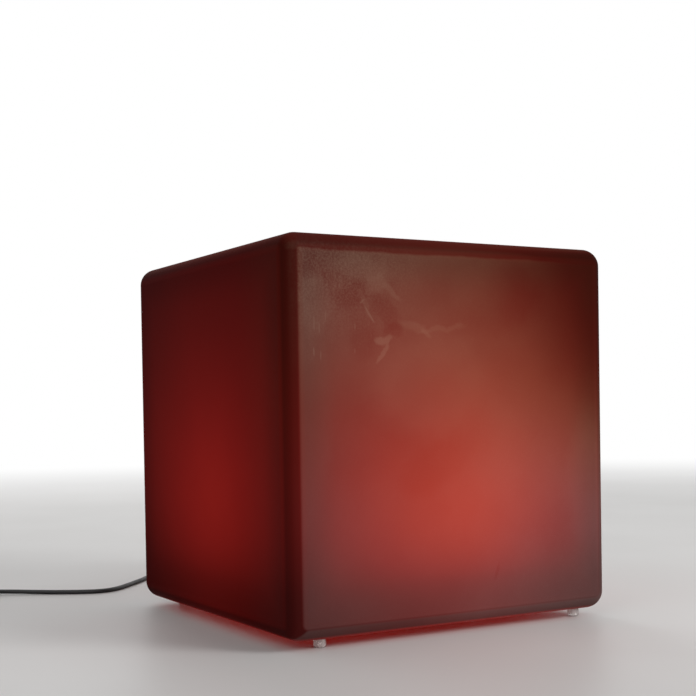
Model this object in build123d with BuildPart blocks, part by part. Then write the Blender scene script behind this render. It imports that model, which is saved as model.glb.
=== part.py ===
# Glowing cube light on four stick-on feet, with a light unit in its floor and a mains cord.
# Millimetres. The origin is on the ground under the middle of the cube: +Z is up, -Y is the
# front face, and the cord leaves at the back and runs off to the left (-X).

import os
from math import atan2, cos, hypot, pi, radians, sin

from build123d import *

os.makedirs("parts", exist_ok=True)

# ---------------------------------------------------------------- driving dimensions
# cube
cube_side = 430.0
shell_wall = 3.5
edge_radius = 21.0

# stick-on feet
foot_height = 9.2
foot_radius = 7.0
foot_edge_radius = 3.0
pad_thickness = 0.8
pad_margin = 0.5
foot_inset_x = 40.5
foot_inset_y = 28.0
foot_shift_x = 7.5

# opening in the cube's floor, with its stepped rim
rim_width = 18.0
recess_depth = 8.0
recess_edge_radius = 1.5

# light unit housing
flange_thickness = 3.0
flange_gap = 1.5
gasket_thickness = 1.0
housing_wall = 3.0
housing_gap = 6.0
side_room = 8.9
room_under_fins = 4.9
ledge_width = 11.0
ledge_thickness = 3.0
post_height = 10.0
pilot_depth = 8.0

# base lid, with the pocket that the cord leaves through
lid_thickness = 3.0
lid_gap = 0.6
pocket_width = 30.0
pocket_front_y = -38.0
pocket_back_y = 60.0
pocket_height = 21.5
pocket_wall = 2.5

# breather plug in the lid
vent_radius = 4.0
vent_place = (-36.0, -48.0)
vent_cap_overhang = 2.0
vent_cap_height = 1.8
vent_stem_inside = 2.0

# screws: radius of the shank, radius and height of the head
rim_screw = (2.0, 4.0, 2.6)
cover_screw = (1.5, 3.0, 2.0)
board_screw = (1.25, 2.5, 1.6)
head_rounding_share = 0.35
socket_radius_share = 0.5
socket_depth_share = 0.6
screw_tip_gap = 1.0
screw_hole_gap = 0.3
thread_gap = 0.05
rim_screw_count = 6
lid_screw_count = 6
dome_screw_count = 6
sink_screw_count = 4
insert_radius = 2.8
insert_length = 8.0
boss_wall = 3.2

# heat sink and light board
sink_thickness = 3.0
sink_seat_width = 10.0
sink_screw_inset = 4.5
fin_count = 11
fin_pitch = 6.4
fin_thickness = 1.6
fin_depth = 8.0
light_board_margin = 14.0
board_thickness = 1.6
chip_side = 5.0
chip_height = 1.6
chip_ring_radii = (0.0, 14.0, 28.0)
chip_ring_counts = (1, 6, 12)
light_board_screw_inset = 5.5
light_board_screw_count = 3
wire_hole_radius = 2.6
wire_room = 6.0

# diffuser dome
dome_wall = 2.5
dome_clearance = 2.5
dome_rise = 26.0
dome_flange_width = 12.0
dome_flange_thickness = 2.5
dome_edge_room = 7.0

# driver and controller
driver_width = 38.0
driver_length = 76.0
driver_side_gap = 2.0
driver_lift = 4.5
core_size = (24.0, 20.0, 17.0)
winding_size = (14.0, 26.0, 11.0)
winding_edge_radius = 2.0
transformer_y = 2.0
capacitor_radius = 5.0
capacitor_height = 18.0
capacitor_spacing = 18.0
capacitor_rear_inset = 14.0
capacitor_front_inset = 20.0
terminal_size = (18.0, 10.0, 12.0)
terminal_shift = -1.0
terminal_end_gap = 1.0
terminal_hole_radius = 1.6
terminal_hole_lift = 4.5
terminal_pitch = 8.0
controller_width = 40.0
controller_length = 66.0
controller_side_gap = 3.5
controller_lift = 13.0
controller_chip_side = 9.0
controller_chip_height = 1.2
controller_chip_offsets = ((0.0, 18.0), (6.0, -12.0))
standoff_radius = 3.0
standoff_inset = 4.0

# button under the lid
button_x = -44.0
button_y = 0.0
button_radius = 8.0
button_edge_radius = 0.8
button_gap = 0.3
button_drop = 1.8
button_travel = 1.5
button_flange_radius = 10.4
button_flange_thickness = 1.6
button_boss_wall = 2.5
button_boss_height = 2.0
button_stem_radius = 3.0
seal_groove_depth = 1.0
seal_groove_height = 1.8
seal_groove_lift = 0.9
seal_edge_radius = 0.4
switch_side = 12.0
switch_height = 5.0
switch_roof = 1.0
plunger_radius = 1.8
plunger_reach = 2.2

# gland and cord
cord_diameter = 6.0
cord_fit = 0.05
gland_height = 12.0
stem_radius = 6.2
hex_flats = 16.0
hex_length = 4.5
gland_nut_length = 11.0
gland_nut_radius = 7.4
gland_nut_edge_radius = 2.4
boot_length = 28.0
boot_tip_wall = 1.2
boot_groove_count = 5
boot_first_groove = 1.3
boot_groove_share = 0.4
boot_groove_wall = 0.7
locknut_length = 4.5
stem_inside = 6.0
seal_thickness = 1.0
jacket_past_stem = 2.0

# wires inside
wire_radius = 0.9
lead_offset = 1.4
lead_run = 5.0
lead_bend = 3.0
light_wire_offset = 1.1
light_wire_arch = 4.0
light_wire_bend = 2.0
light_pad_inset = 4.0

# coil of put-away cord, and what holds it
coil_inner_radius = 24.4
coil_pitch = 6.6
turns_inward = 3.5
turns_outward = 3.75
climb_turns = 0.5
tie_thickness = 0.9
tie_width = 9.0
tie_gap = 0.3
tie_angle = -80.0

# plug
plug_length = 36.0
plug_width = 35.0
plug_neck_width = 13.0
plug_thickness = 13.7
plug_edge_radius = 2.6
plug_shoulder_share = 0.45
plug_neck_length = 18.0
neck_root_wall = 1.2
neck_tip_inset = 0.6
neck_groove_count = 4
neck_first_groove = 0.7
neck_groove_share = 0.35
neck_groove_wall = 0.6
pin_radius = 2.0
pin_rounding_share = 0.45
pin_length = 19.0
pin_spacing = 18.6

# ---------------------------------------------------------------- heights and places
ground_gap = foot_height + pad_thickness
shell_bottom = ground_gap
half_side = cube_side / 2
recess_top = shell_bottom + recess_depth
gasket_bottom = recess_top - gasket_thickness
flange_bottom = gasket_bottom - flange_thickness
lid_top = flange_bottom + lid_thickness
ledge_bottom = lid_top + gasket_thickness
pocket_roof = flange_bottom + pocket_height
gland_face = pocket_front_y
gland_z = flange_bottom + gland_height

# the boards stand on the lid, each side of the cord's pocket
pocket_side = pocket_width / 2 + pocket_wall
driver_x = pocket_side + driver_side_gap + driver_width / 2
driver_bottom = lid_top + driver_lift
driver_top = driver_bottom + board_thickness
controller_x = -(pocket_side + controller_side_gap + controller_width / 2)
controller_bottom = lid_top + controller_lift
controller_top = controller_bottom + board_thickness
terminal_mouth = terminal_end_gap - driver_length / 2
terminal_place = (driver_x + terminal_shift, terminal_mouth + terminal_size[1] / 2)
jacket_inside = pocket_wall + stem_inside + jacket_past_stem
leads_turn = gland_face - jacket_inside - lead_run

# the light board is as wide as its rings of chips, and the sink and dome go round it
light_board_radius = chip_ring_radii[-1] + light_board_margin
light_board_screw_circle = light_board_radius - light_board_screw_inset
sink_opening_radius = light_board_radius + wire_room
sink_radius = sink_opening_radius + sink_seat_width
wire_hole_x = -(light_board_radius + sink_opening_radius) / 2
dome_bore = sink_radius + dome_clearance
dome_flange_radius = dome_bore + dome_wall + dome_flange_width
dome_screw_circle = dome_bore + dome_wall + dome_flange_width / 2

# the housing is as wide and as high as what it holds and carries asks for
terminal_reach = terminal_place[0] + terminal_pitch / 2 + wire_radius
contents_radius = max(
    hypot(driver_x + driver_width / 2, driver_length / 2),
    hypot(controller_x - controller_width / 2, controller_length / 2),
    hypot(pocket_side, pocket_back_y + pocket_wall),
    hypot(terminal_reach, leads_turn - lead_offset - wire_radius),
)
housing_radius = max(
    contents_radius + side_room + housing_wall,
    dome_flange_radius + dome_edge_room,
)
housing_bore = housing_radius - housing_wall
opening_radius = housing_radius + housing_gap
recess_radius = opening_radius + rim_width
flange_radius = recess_radius - flange_gap
rim_screw_circle = (opening_radius + recess_radius) / 2
lid_radius = housing_bore - lid_gap
ledge_radius = housing_bore - ledge_width
lid_screw_circle = housing_bore - ledge_width / 2
contents_top = max(
    driver_top + max(capacitor_height, core_size[2], terminal_size[2]),
    controller_top + controller_chip_height,
    pocket_roof + pocket_wall,
)
housing_top = contents_top + room_under_fins + fin_depth
housing_ceiling = housing_top - housing_wall

sink_top = housing_top + sink_thickness
light_board_top = sink_top + board_thickness
dome_seat = housing_top + gasket_thickness

cord_radius = cord_diameter / 2
slide_gap = 0.1


def ring_places(radius, count, start=0.0):
    """Places evenly spaced on a circle about the cube's axis."""
    step = 360.0 / count
    angles = [radians(start + step * i) for i in range(count)]
    return [(radius * cos(a), radius * sin(a)) for a in angles]


def board_places(x, width, length):
    """A board's four screw places, in from its corners."""
    dx = width / 2 - standoff_inset
    dy = length / 2 - standoff_inset
    return [(x + i * dx, j * dy) for i in (-1, 1) for j in (-1, 1)]


rim_places = ring_places(rim_screw_circle, rim_screw_count)
lid_places = ring_places(lid_screw_circle, lid_screw_count)
dome_places = ring_places(dome_screw_circle, dome_screw_count, 180.0 / dome_screw_count)
sink_screw_circle = sink_radius - sink_screw_inset
sink_places = ring_places(sink_screw_circle, sink_screw_count, 180.0 / sink_screw_count)
light_board_places = ring_places(light_board_screw_circle, light_board_screw_count)
driver_places = board_places(driver_x, driver_width, driver_length)
controller_places = board_places(controller_x, controller_width, controller_length)
foot_x = half_side - foot_inset_x
foot_y = half_side - foot_inset_y
foot_places = {
    "front_left_foot": (foot_shift_x - foot_x, -foot_y),
    "front_right_foot": (foot_shift_x + foot_x, -foot_y),
    "rear_left_foot": (foot_shift_x - foot_x, foot_y),
    "rear_right_foot": (foot_shift_x + foot_x, foot_y),
}


def save(label, built):
    """Labels a finished piece and writes it."""
    built.part.label = label
    export_step(built.part, f"parts/{label}.step")


def discs(places, bottom, height, radius):
    """One upright cylinder at each place."""
    with BuildPart() as made:
        with BuildSketch(Plane.XY.offset(bottom)):
            with Locations(*places):
                Circle(radius)
        extrude(amount=height)
    return made


def screws(places, seat, length, size, way):
    """Pan-head screws with hexagon sockets. way is 1 where the shank points up from the seat."""
    shank, head, head_height = size
    with BuildPart() as made:
        with BuildSketch(Plane.XY.offset(seat)):
            with Locations(*places):
                Circle(head)
        extrude(amount=-way * head_height)
        head_rim = made.edges().group_by(Axis.Z)[0 if way > 0 else -1]
        fillet(head_rim, radius=head_height * head_rounding_share)
        with BuildSketch(Plane.XY.offset(seat - way * head_height)):
            with Locations(*places):
                RegularPolygon(radius=head * socket_radius_share, side_count=6)
        extrude(amount=way * head_height * socket_depth_share, mode=Mode.SUBTRACT)
        with BuildSketch(Plane.XY.offset(seat)):
            with Locations(*places):
                Circle(shank)
        extrude(amount=way * length)
    return made


# ---------------------------------------------------------------- the cube's shell
with BuildPart() as shell_hollow:
    with BuildSketch(Plane.XY.offset(shell_bottom + shell_wall)):
        Rectangle(cube_side - 2 * shell_wall, cube_side - 2 * shell_wall)
    extrude(amount=cube_side - 2 * shell_wall)
    fillet(shell_hollow.edges(), radius=edge_radius - shell_wall)

boss_radius = insert_radius + boss_wall
boss_top = recess_top + insert_length + shell_wall

with BuildPart() as cube_shell:
    with BuildSketch(Plane.XY.offset(shell_bottom)):
        Rectangle(cube_side, cube_side)
    extrude(amount=cube_side)
    fillet(cube_shell.edges(), radius=edge_radius)
    add(shell_hollow.part, mode=Mode.SUBTRACT)
    # the floor steps up round the opening, so that the light unit sits flush
    with BuildSketch(Plane.XY.offset(shell_bottom + shell_wall)):
        Circle(recess_radius + shell_wall)
    extrude(amount=recess_depth)
    with BuildSketch(Plane.XY.offset(recess_top)):
        with Locations(*rim_places):
            Circle(boss_radius)
    extrude(amount=boss_top - recess_top)
    with BuildSketch(Plane.XY.offset(shell_bottom)):
        Circle(recess_radius)
    extrude(amount=recess_depth, mode=Mode.SUBTRACT)
    with BuildSketch(Plane.XY.offset(recess_top)):
        Circle(opening_radius)
    extrude(amount=boss_top - recess_top, mode=Mode.SUBTRACT)
    with BuildSketch(Plane.XY.offset(recess_top)):
        with Locations(*rim_places):
            Circle(insert_radius + thread_gap)
    extrude(amount=insert_length + thread_gap, mode=Mode.SUBTRACT)
    mouth = cube_shell.edges().filter_by(GeomType.CIRCLE).group_by(Axis.Z)[0]
    fillet(mouth.sort_by(SortBy.LENGTH)[-1], radius=recess_edge_radius)
save("cube_shell", cube_shell)

with BuildPart() as rim_inserts:
    with BuildSketch(Plane.XY.offset(recess_top)):
        with Locations(*rim_places):
            Circle(insert_radius)
            Circle(rim_screw[0] + thread_gap, mode=Mode.SUBTRACT)
    extrude(amount=insert_length)
save("rim_inserts", rim_inserts)

# ---------------------------------------------------------------- feet
for foot_name, foot_place in foot_places.items():
    with BuildPart() as foot:
        with BuildSketch():
            with Locations(foot_place):
                Circle(foot_radius)
        extrude(amount=foot_height)
        fillet(foot.edges().group_by(Axis.Z)[0], radius=foot_edge_radius)
    save(foot_name, foot)

foot_pads = discs(foot_places.values(), foot_height, pad_thickness, foot_radius - pad_margin)
save("foot_pads", foot_pads)

# ---------------------------------------------------------------- light unit housing
rim_hole = rim_screw[0] + screw_hole_gap
cover_pilot = cover_screw[0] + thread_gap
post_radius = cover_screw[0] + boss_wall

with BuildPart() as rim_gasket:
    with BuildSketch(Plane.XY.offset(gasket_bottom)):
        Circle(flange_radius - flange_gap)
        Circle(opening_radius + flange_gap, mode=Mode.SUBTRACT)
        with Locations(*rim_places):
            Circle(rim_hole, mode=Mode.SUBTRACT)
    extrude(amount=gasket_thickness)
save("rim_gasket", rim_gasket)

with BuildPart() as base_housing:
    with BuildSketch(Plane.XY.offset(flange_bottom)):
        Circle(flange_radius)
    extrude(amount=flange_thickness)
    fillet(base_housing.edges().group_by(Axis.Z)[0], radius=flange_thickness / 3)
    with BuildSketch(Plane.XY.offset(flange_bottom)):
        Circle(housing_radius)
    extrude(amount=housing_top - flange_bottom)
    fillet(base_housing.edges().group_by(Axis.Z)[-1], radius=housing_wall / 2)
    with BuildSketch(Plane.XY.offset(flange_bottom)):
        Circle(housing_bore)
    extrude(amount=housing_ceiling - flange_bottom, mode=Mode.SUBTRACT)
    # the ledge and posts that the lid closes against
    with BuildSketch(Plane.XY.offset(ledge_bottom)):
        Circle(housing_bore + housing_wall / 2)
        Circle(ledge_radius, mode=Mode.SUBTRACT)
    extrude(amount=ledge_thickness)
    with BuildSketch(Plane.XY.offset(ledge_bottom)):
        with Locations(*lid_places):
            Circle(post_radius)
    extrude(amount=post_height)
    # bosses that hang from the ceiling for the dome's screws
    with BuildSketch(Plane.XY.offset(housing_top - post_height)):
        with Locations(*dome_places):
            Circle(post_radius)
    extrude(amount=post_height - housing_wall / 2)
    # bosses for the heat sink's screws
    with BuildSketch(Plane.XY.offset(housing_top - post_height)):
        with Locations(*sink_places):
            Circle(post_radius)
    extrude(amount=post_height - housing_wall / 2)
    with BuildSketch(Plane.XY.offset(housing_top - post_height)):
        Circle(sink_opening_radius)
    extrude(amount=post_height, mode=Mode.SUBTRACT)
    with BuildSketch(Plane.XY.offset(ledge_bottom)):
        with Locations(*lid_places):
            Circle(cover_pilot)
    extrude(amount=pilot_depth, mode=Mode.SUBTRACT)
    with BuildSketch(Plane.XY.offset(housing_top)):
        with Locations(*dome_places, *sink_places):
            Circle(cover_pilot)
    extrude(amount=-pilot_depth, mode=Mode.SUBTRACT)
    with BuildSketch(Plane.XY.offset(flange_bottom)):
        with Locations(*rim_places):
            Circle(rim_hole)
    extrude(amount=flange_thickness, mode=Mode.SUBTRACT)
save("base_housing", base_housing)

rim_screw_length = flange_thickness + gasket_thickness + insert_length - screw_tip_gap
save("rim_screws", screws(rim_places, flange_bottom, rim_screw_length, rim_screw, 1))

# ---------------------------------------------------------------- base lid
lid_hole = cover_screw[0] + screw_hole_gap
pocket_length = pocket_back_y - pocket_front_y
pocket_y = (pocket_front_y + pocket_back_y) / 2
button_hole = button_radius + button_gap
button_seat = lid_top + button_boss_height
board_pilot = board_screw[0] + thread_gap

with BuildPart() as base_lid:
    with BuildSketch(Plane.XY.offset(flange_bottom)):
        Circle(lid_radius)
    extrude(amount=lid_thickness)
    with BuildSketch(Plane.XY.offset(lid_top)):
        with Locations((0, pocket_y)):
            Rectangle(2 * pocket_side, pocket_length + 2 * pocket_wall)
    extrude(amount=pocket_roof + pocket_wall - lid_top)
    fillet(base_lid.edges().group_by(Axis.Z)[-1], radius=pocket_wall)
    with BuildSketch(Plane.XY.offset(flange_bottom)):
        with Locations((0, pocket_y)):
            Rectangle(pocket_width, pocket_length)
    extrude(amount=pocket_height, mode=Mode.SUBTRACT)
    # button guide
    with BuildSketch(Plane.XY.offset(lid_top)):
        with Locations((button_x, button_y)):
            Circle(button_hole + button_boss_wall)
    extrude(amount=button_boss_height)
    # standoffs of the two boards
    with BuildSketch(Plane.XY.offset(lid_top)):
        with Locations(*driver_places):
            Circle(standoff_radius)
    extrude(amount=driver_lift)
    with BuildSketch(Plane.XY.offset(lid_top)):
        with Locations(*controller_places):
            Circle(standoff_radius)
    extrude(amount=controller_lift)
    with BuildSketch(Plane.XY.offset(driver_bottom)):
        with Locations(*driver_places):
            Circle(board_pilot)
    extrude(amount=-driver_lift, mode=Mode.SUBTRACT)
    with BuildSketch(Plane.XY.offset(controller_bottom)):
        with Locations(*controller_places):
            Circle(board_pilot)
    extrude(amount=-pilot_depth, mode=Mode.SUBTRACT)
    # holes through the lid
    with BuildSketch(Plane.XY.offset(flange_bottom)):
        with Locations((button_x, button_y)):
            Circle(button_hole)
        with Locations(vent_place):
            Circle(vent_radius + thread_gap)
        with Locations(*lid_places):
            Circle(lid_hole)
    extrude(amount=button_seat - flange_bottom, mode=Mode.SUBTRACT)
    # hole for the gland's stem, in the pocket's front wall
    with BuildSketch(Plane.XZ.offset(-pocket_front_y)):
        with Locations((0, gland_z)):
            Circle(stem_radius + thread_gap)
    extrude(amount=pocket_wall, mode=Mode.SUBTRACT)
save("base_lid", base_lid)

with BuildPart() as lid_gasket:
    with BuildSketch(Plane.XY.offset(lid_top)):
        Circle(lid_radius)
        Circle(ledge_radius, mode=Mode.SUBTRACT)
        with Locations(*lid_places):
            Circle(lid_hole, mode=Mode.SUBTRACT)
    extrude(amount=gasket_thickness)
save("lid_gasket", lid_gasket)

lid_screw_length = lid_thickness + gasket_thickness + pilot_depth - screw_tip_gap
save("lid_screws", screws(lid_places, flange_bottom, lid_screw_length, cover_screw, 1))

# breather plug: a membrane cap that lets the unit breathe and keeps water out
with BuildPart() as vent_plug:
    with BuildSketch(Plane.XY.offset(flange_bottom)):
        with Locations(vent_place):
            Circle(vent_radius + vent_cap_overhang)
    extrude(amount=-vent_cap_height)
    fillet(vent_plug.edges().group_by(Axis.Z)[0], radius=vent_cap_height / 2)
    with BuildSketch(Plane.XY.offset(flange_bottom)):
        with Locations(vent_place):
            Circle(vent_radius)
    extrude(amount=lid_thickness + vent_stem_inside)
save("vent_plug", vent_plug)

# ---------------------------------------------------------------- heat sink and light board
with BuildPart() as heat_sink:
    with BuildSketch(Plane.XY.offset(housing_top)):
        Circle(sink_radius)
        with Locations(*sink_places):
            Circle(lid_hole, mode=Mode.SUBTRACT)
        with Locations((wire_hole_x, 0)):
            Circle(wire_hole_radius, mode=Mode.SUBTRACT)
    extrude(amount=sink_thickness)
    for fin in range(fin_count):
        fin_x = (fin - (fin_count - 1) / 2) * fin_pitch
        fin_reach = (sink_opening_radius - fin_thickness) ** 2 - (abs(fin_x) + fin_thickness) ** 2
        with BuildSketch(Plane.XY.offset(housing_top)):
            with Locations((fin_x, 0)):
                Rectangle(fin_thickness, 2 * fin_reach**0.5)
        extrude(amount=-fin_depth)
    with BuildSketch(Plane.XY.offset(sink_top)):
        with Locations(*light_board_places):
            Circle(board_pilot)
    extrude(amount=-sink_thickness, mode=Mode.SUBTRACT)
save("heat_sink", heat_sink)

sink_screw_length = sink_thickness + pilot_depth - screw_tip_gap
save("heat_sink_screws", screws(sink_places, sink_top, sink_screw_length, cover_screw, -1))

with BuildPart() as light_board:
    with BuildSketch(Plane.XY.offset(sink_top)):
        Circle(light_board_radius)
        with Locations(*light_board_places):
            Circle(board_pilot, mode=Mode.SUBTRACT)
    extrude(amount=board_thickness)
save("light_board", light_board)

with BuildPart() as light_chips:
    for chip_circle, chip_count in zip(chip_ring_radii, chip_ring_counts):
        with BuildSketch(Plane.XY.offset(light_board_top)):
            with Locations(*ring_places(chip_circle, chip_count)):
                Rectangle(chip_side, chip_side)
        extrude(amount=chip_height)
save("light_chips", light_chips)

light_board_screw_length = board_thickness + sink_thickness
light_board_screws = screws(
    light_board_places, light_board_top, light_board_screw_length, board_screw, -1
)
save("light_board_screws", light_board_screws)

# ---------------------------------------------------------------- diffuser dome
dome_base = dome_seat + dome_flange_thickness
inner_sphere = (dome_bore**2 + dome_rise**2) / (2 * dome_rise)
dome_outer_radius = dome_bore + dome_wall
dome_outer_rise = dome_rise + dome_wall
outer_sphere = (dome_outer_radius**2 + dome_outer_rise**2) / (2 * dome_outer_rise)
inner_mid = atan2(dome_bore, inner_sphere - dome_rise) / 2
outer_mid = atan2(dome_outer_radius, outer_sphere - dome_outer_rise) / 2
inner_centre = dome_base + dome_rise - inner_sphere
outer_centre = dome_base + dome_outer_rise - outer_sphere

with BuildPart() as diffuser_dome:
    with BuildSketch(Plane.XZ):
        with BuildLine():
            Polyline(
                (dome_bore, dome_base),
                (dome_bore, dome_seat),
                (dome_flange_radius, dome_seat),
                (dome_flange_radius, dome_base),
                (dome_outer_radius, dome_base),
            )
            ThreePointArc(
                (dome_outer_radius, dome_base),
                (outer_sphere * sin(outer_mid), outer_centre + outer_sphere * cos(outer_mid)),
                (0, dome_base + dome_outer_rise),
            )
            Line((0, dome_base + dome_outer_rise), (0, dome_base + dome_rise))
            ThreePointArc(
                (0, dome_base + dome_rise),
                (inner_sphere * sin(inner_mid), inner_centre + inner_sphere * cos(inner_mid)),
                (dome_bore, dome_base),
            )
        make_face()
    revolve(axis=Axis.Z)
    with BuildSketch(Plane.XY.offset(dome_seat)):
        with Locations(*dome_places):
            Circle(lid_hole)
    extrude(amount=dome_flange_thickness, mode=Mode.SUBTRACT)
save("diffuser_dome", diffuser_dome)

with BuildPart() as dome_gasket:
    with BuildSketch(Plane.XY.offset(housing_top)):
        Circle(dome_flange_radius - pad_margin)
        Circle(dome_bore + pad_margin, mode=Mode.SUBTRACT)
        with Locations(*dome_places):
            Circle(lid_hole, mode=Mode.SUBTRACT)
    extrude(amount=gasket_thickness)
save("dome_gasket", dome_gasket)

dome_screw_length = dome_flange_thickness + gasket_thickness + pilot_depth - screw_tip_gap
save("dome_screws", screws(dome_places, dome_base, dome_screw_length, cover_screw, -1))

# ---------------------------------------------------------------- driver
with BuildPart() as driver_board:
    with BuildSketch(Plane.XY.offset(driver_bottom)):
        with Locations((driver_x, 0)):
            Rectangle(driver_width, driver_length)
        with Locations(*driver_places):
            Circle(board_pilot, mode=Mode.SUBTRACT)
    extrude(amount=board_thickness)
save("driver_board", driver_board)

transformer_place = (driver_x, transformer_y)
with BuildPart() as transformer_core:
    with BuildSketch(Plane.XY.offset(driver_top)):
        with Locations(transformer_place):
            Rectangle(core_size[0], core_size[1])
    extrude(amount=core_size[2])
    winding_lift = (core_size[2] - winding_size[2]) / 2
    with BuildSketch(Plane.XY.offset(driver_top + winding_lift)):
        with Locations(transformer_place):
            Rectangle(winding_size[0], core_size[1])
    extrude(amount=winding_size[2], mode=Mode.SUBTRACT)
save("transformer_core", transformer_core)

with BuildPart() as transformer_winding:
    with BuildSketch(Plane.XY.offset(driver_top + winding_lift + thread_gap)):
        with Locations(transformer_place):
            RectangleRounded(winding_size[0] - 2 * thread_gap, winding_size[1], winding_edge_radius)
    extrude(amount=winding_size[2] - 2 * thread_gap)
save("transformer_winding", transformer_winding)

capacitor_rear_y = driver_length / 2 - capacitor_rear_inset
capacitor_front_y = capacitor_front_inset - driver_length / 2
capacitor_places = [
    (driver_x - capacitor_spacing / 2, capacitor_rear_y),
    (driver_x + capacitor_spacing / 2, capacitor_rear_y),
    (driver_x - capacitor_spacing / 2, capacitor_front_y),
]
capacitors = discs(capacitor_places, driver_top, capacitor_height, capacitor_radius)
save("driver_capacitors", capacitors)

terminal_hole_z = driver_top + terminal_hole_lift
terminal_holes = [(terminal_place[0] + i * terminal_pitch / 2, terminal_hole_z) for i in (-1, 1)]
with BuildPart() as terminal_block:
    with BuildSketch(Plane.XY.offset(driver_top)):
        with Locations(terminal_place):
            Rectangle(terminal_size[0], terminal_size[1])
    extrude(amount=terminal_size[2])
    with BuildSketch(Plane.XZ.offset(-terminal_mouth)):
        with Locations(*terminal_holes):
            Circle(terminal_hole_radius)
    extrude(amount=-terminal_size[1] / 2, mode=Mode.SUBTRACT)
save("terminal_block", terminal_block)

save("driver_board_screws", screws(driver_places, driver_top, driver_lift, board_screw, -1))

# ---------------------------------------------------------------- controller
with BuildPart() as controller_board:
    with BuildSketch(Plane.XY.offset(controller_bottom)):
        with Locations((controller_x, 0)):
            Rectangle(controller_width, controller_length)
        with Locations(*controller_places):
            Circle(board_pilot, mode=Mode.SUBTRACT)
    extrude(amount=board_thickness)
save("controller_board", controller_board)

controller_chip_places = [
    (controller_x + across, along) for across, along in controller_chip_offsets
]
with BuildPart() as controller_chips:
    with BuildSketch(Plane.XY.offset(controller_top)):
        with Locations(*controller_chip_places):
            Rectangle(controller_chip_side, controller_chip_side)
    extrude(amount=controller_chip_height)
save("controller_chips", controller_chips)

controller_screws = screws(controller_places, controller_top, pilot_depth, board_screw, -1)
save("controller_board_screws", controller_screws)

# ---------------------------------------------------------------- button and its switch
switch_bottom = controller_bottom - switch_height
switch_bore_depth = switch_height - switch_roof
with BuildPart() as button_switch:
    with BuildSketch(Plane.XY.offset(switch_bottom)):
        with Locations((button_x, button_y)):
            Rectangle(switch_side, switch_side)
    extrude(amount=switch_height)
    with BuildSketch(Plane.XY.offset(switch_bottom)):
        with Locations((button_x, button_y)):
            Circle(plunger_radius + slide_gap)
    extrude(amount=switch_bore_depth, mode=Mode.SUBTRACT)
save("button_switch", button_switch)

plunger_bottom = switch_bottom - plunger_reach
plunger_length = plunger_reach + switch_bore_depth - button_travel - button_gap
switch_plunger = discs([(button_x, button_y)], plunger_bottom, plunger_length, plunger_radius)
save("switch_plunger", switch_plunger)

button_bottom = flange_bottom - button_drop
button_flange_bottom = button_seat + slide_gap
groove_bottom = flange_bottom + seal_groove_lift
groove_radius = button_radius - seal_groove_depth
with BuildPart() as mode_button:
    with BuildSketch(Plane.XY.offset(button_bottom)):
        with Locations((button_x, button_y)):
            Circle(button_radius)
    extrude(amount=button_flange_bottom - button_bottom)
    fillet(mode_button.edges().group_by(Axis.Z)[0], radius=button_edge_radius)
    with BuildSketch(Plane.XY.offset(button_flange_bottom)):
        with Locations((button_x, button_y)):
            Circle(button_flange_radius)
    extrude(amount=button_flange_thickness)
    with BuildSketch(Plane.XY.offset(button_flange_bottom)):
        with Locations((button_x, button_y)):
            Circle(button_stem_radius)
    extrude(amount=plunger_bottom - button_flange_bottom)
    with BuildSketch(Plane.XY.offset(groove_bottom)):
        with Locations((button_x, button_y)):
            Circle(button_radius)
            Circle(groove_radius, mode=Mode.SUBTRACT)
    extrude(amount=seal_groove_height, mode=Mode.SUBTRACT)
save("mode_button", mode_button)

with BuildPart() as button_seal:
    with BuildSketch(Plane.XY.offset(groove_bottom + thread_gap)):
        with Locations((button_x, button_y)):
            Circle(button_hole - thread_gap)
            Circle(groove_radius + thread_gap, mode=Mode.SUBTRACT)
    extrude(amount=seal_groove_height - 2 * thread_gap)
    fillet(button_seal.edges(), radius=seal_edge_radius)
save("button_seal", button_seal)

# ---------------------------------------------------------------- cord gland
bore_radius = cord_radius + cord_fit


def along_cord(distance):
    """The plane square to the cord's way out, that far past the pocket's front wall."""
    return Plane(origin=(0, gland_face + distance, gland_z), x_dir=(1, 0, 0), z_dir=(0, 1, 0))


hex_radius = hex_flats / 2 / cos(pi / 6)
nut_start = hex_length
boot_start = nut_start + gland_nut_length
boot_end = boot_start + boot_length
with BuildPart() as cable_gland:
    with BuildSketch(along_cord(seal_thickness)):
        RegularPolygon(radius=hex_radius, side_count=6)
    extrude(amount=hex_length - seal_thickness)
    with BuildSketch(along_cord(seal_thickness)):
        Circle(stem_radius)
    extrude(amount=-(seal_thickness + pocket_wall + stem_inside))
    with BuildSketch(along_cord(hex_length)):
        Circle(bore_radius)
    extrude(amount=-(hex_length + pocket_wall + stem_inside), mode=Mode.SUBTRACT)
save("cable_gland", cable_gland)

with BuildPart() as gland_seal:
    with BuildSketch(along_cord(0)):
        Circle(hex_flats / 2 - pad_margin)
        Circle(stem_radius + thread_gap, mode=Mode.SUBTRACT)
    extrude(amount=seal_thickness)
save("gland_seal", gland_seal)

with BuildPart() as gland_locknut:
    with BuildSketch(along_cord(-pocket_wall)):
        RegularPolygon(radius=hex_radius, side_count=6)
        Circle(stem_radius + thread_gap, mode=Mode.SUBTRACT)
    extrude(amount=-locknut_length)
save("gland_locknut", gland_locknut)

with BuildPart() as gland_nut:
    with BuildSketch(along_cord(nut_start)):
        Circle(gland_nut_radius)
    extrude(amount=gland_nut_length)
    fillet(gland_nut.edges().sort_by(Axis.Y)[-1], radius=gland_nut_edge_radius)
    with BuildSketch(along_cord(nut_start)):
        Circle(bore_radius)
    extrude(amount=gland_nut_length, mode=Mode.SUBTRACT)
save("gland_nut", gland_nut)

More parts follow.
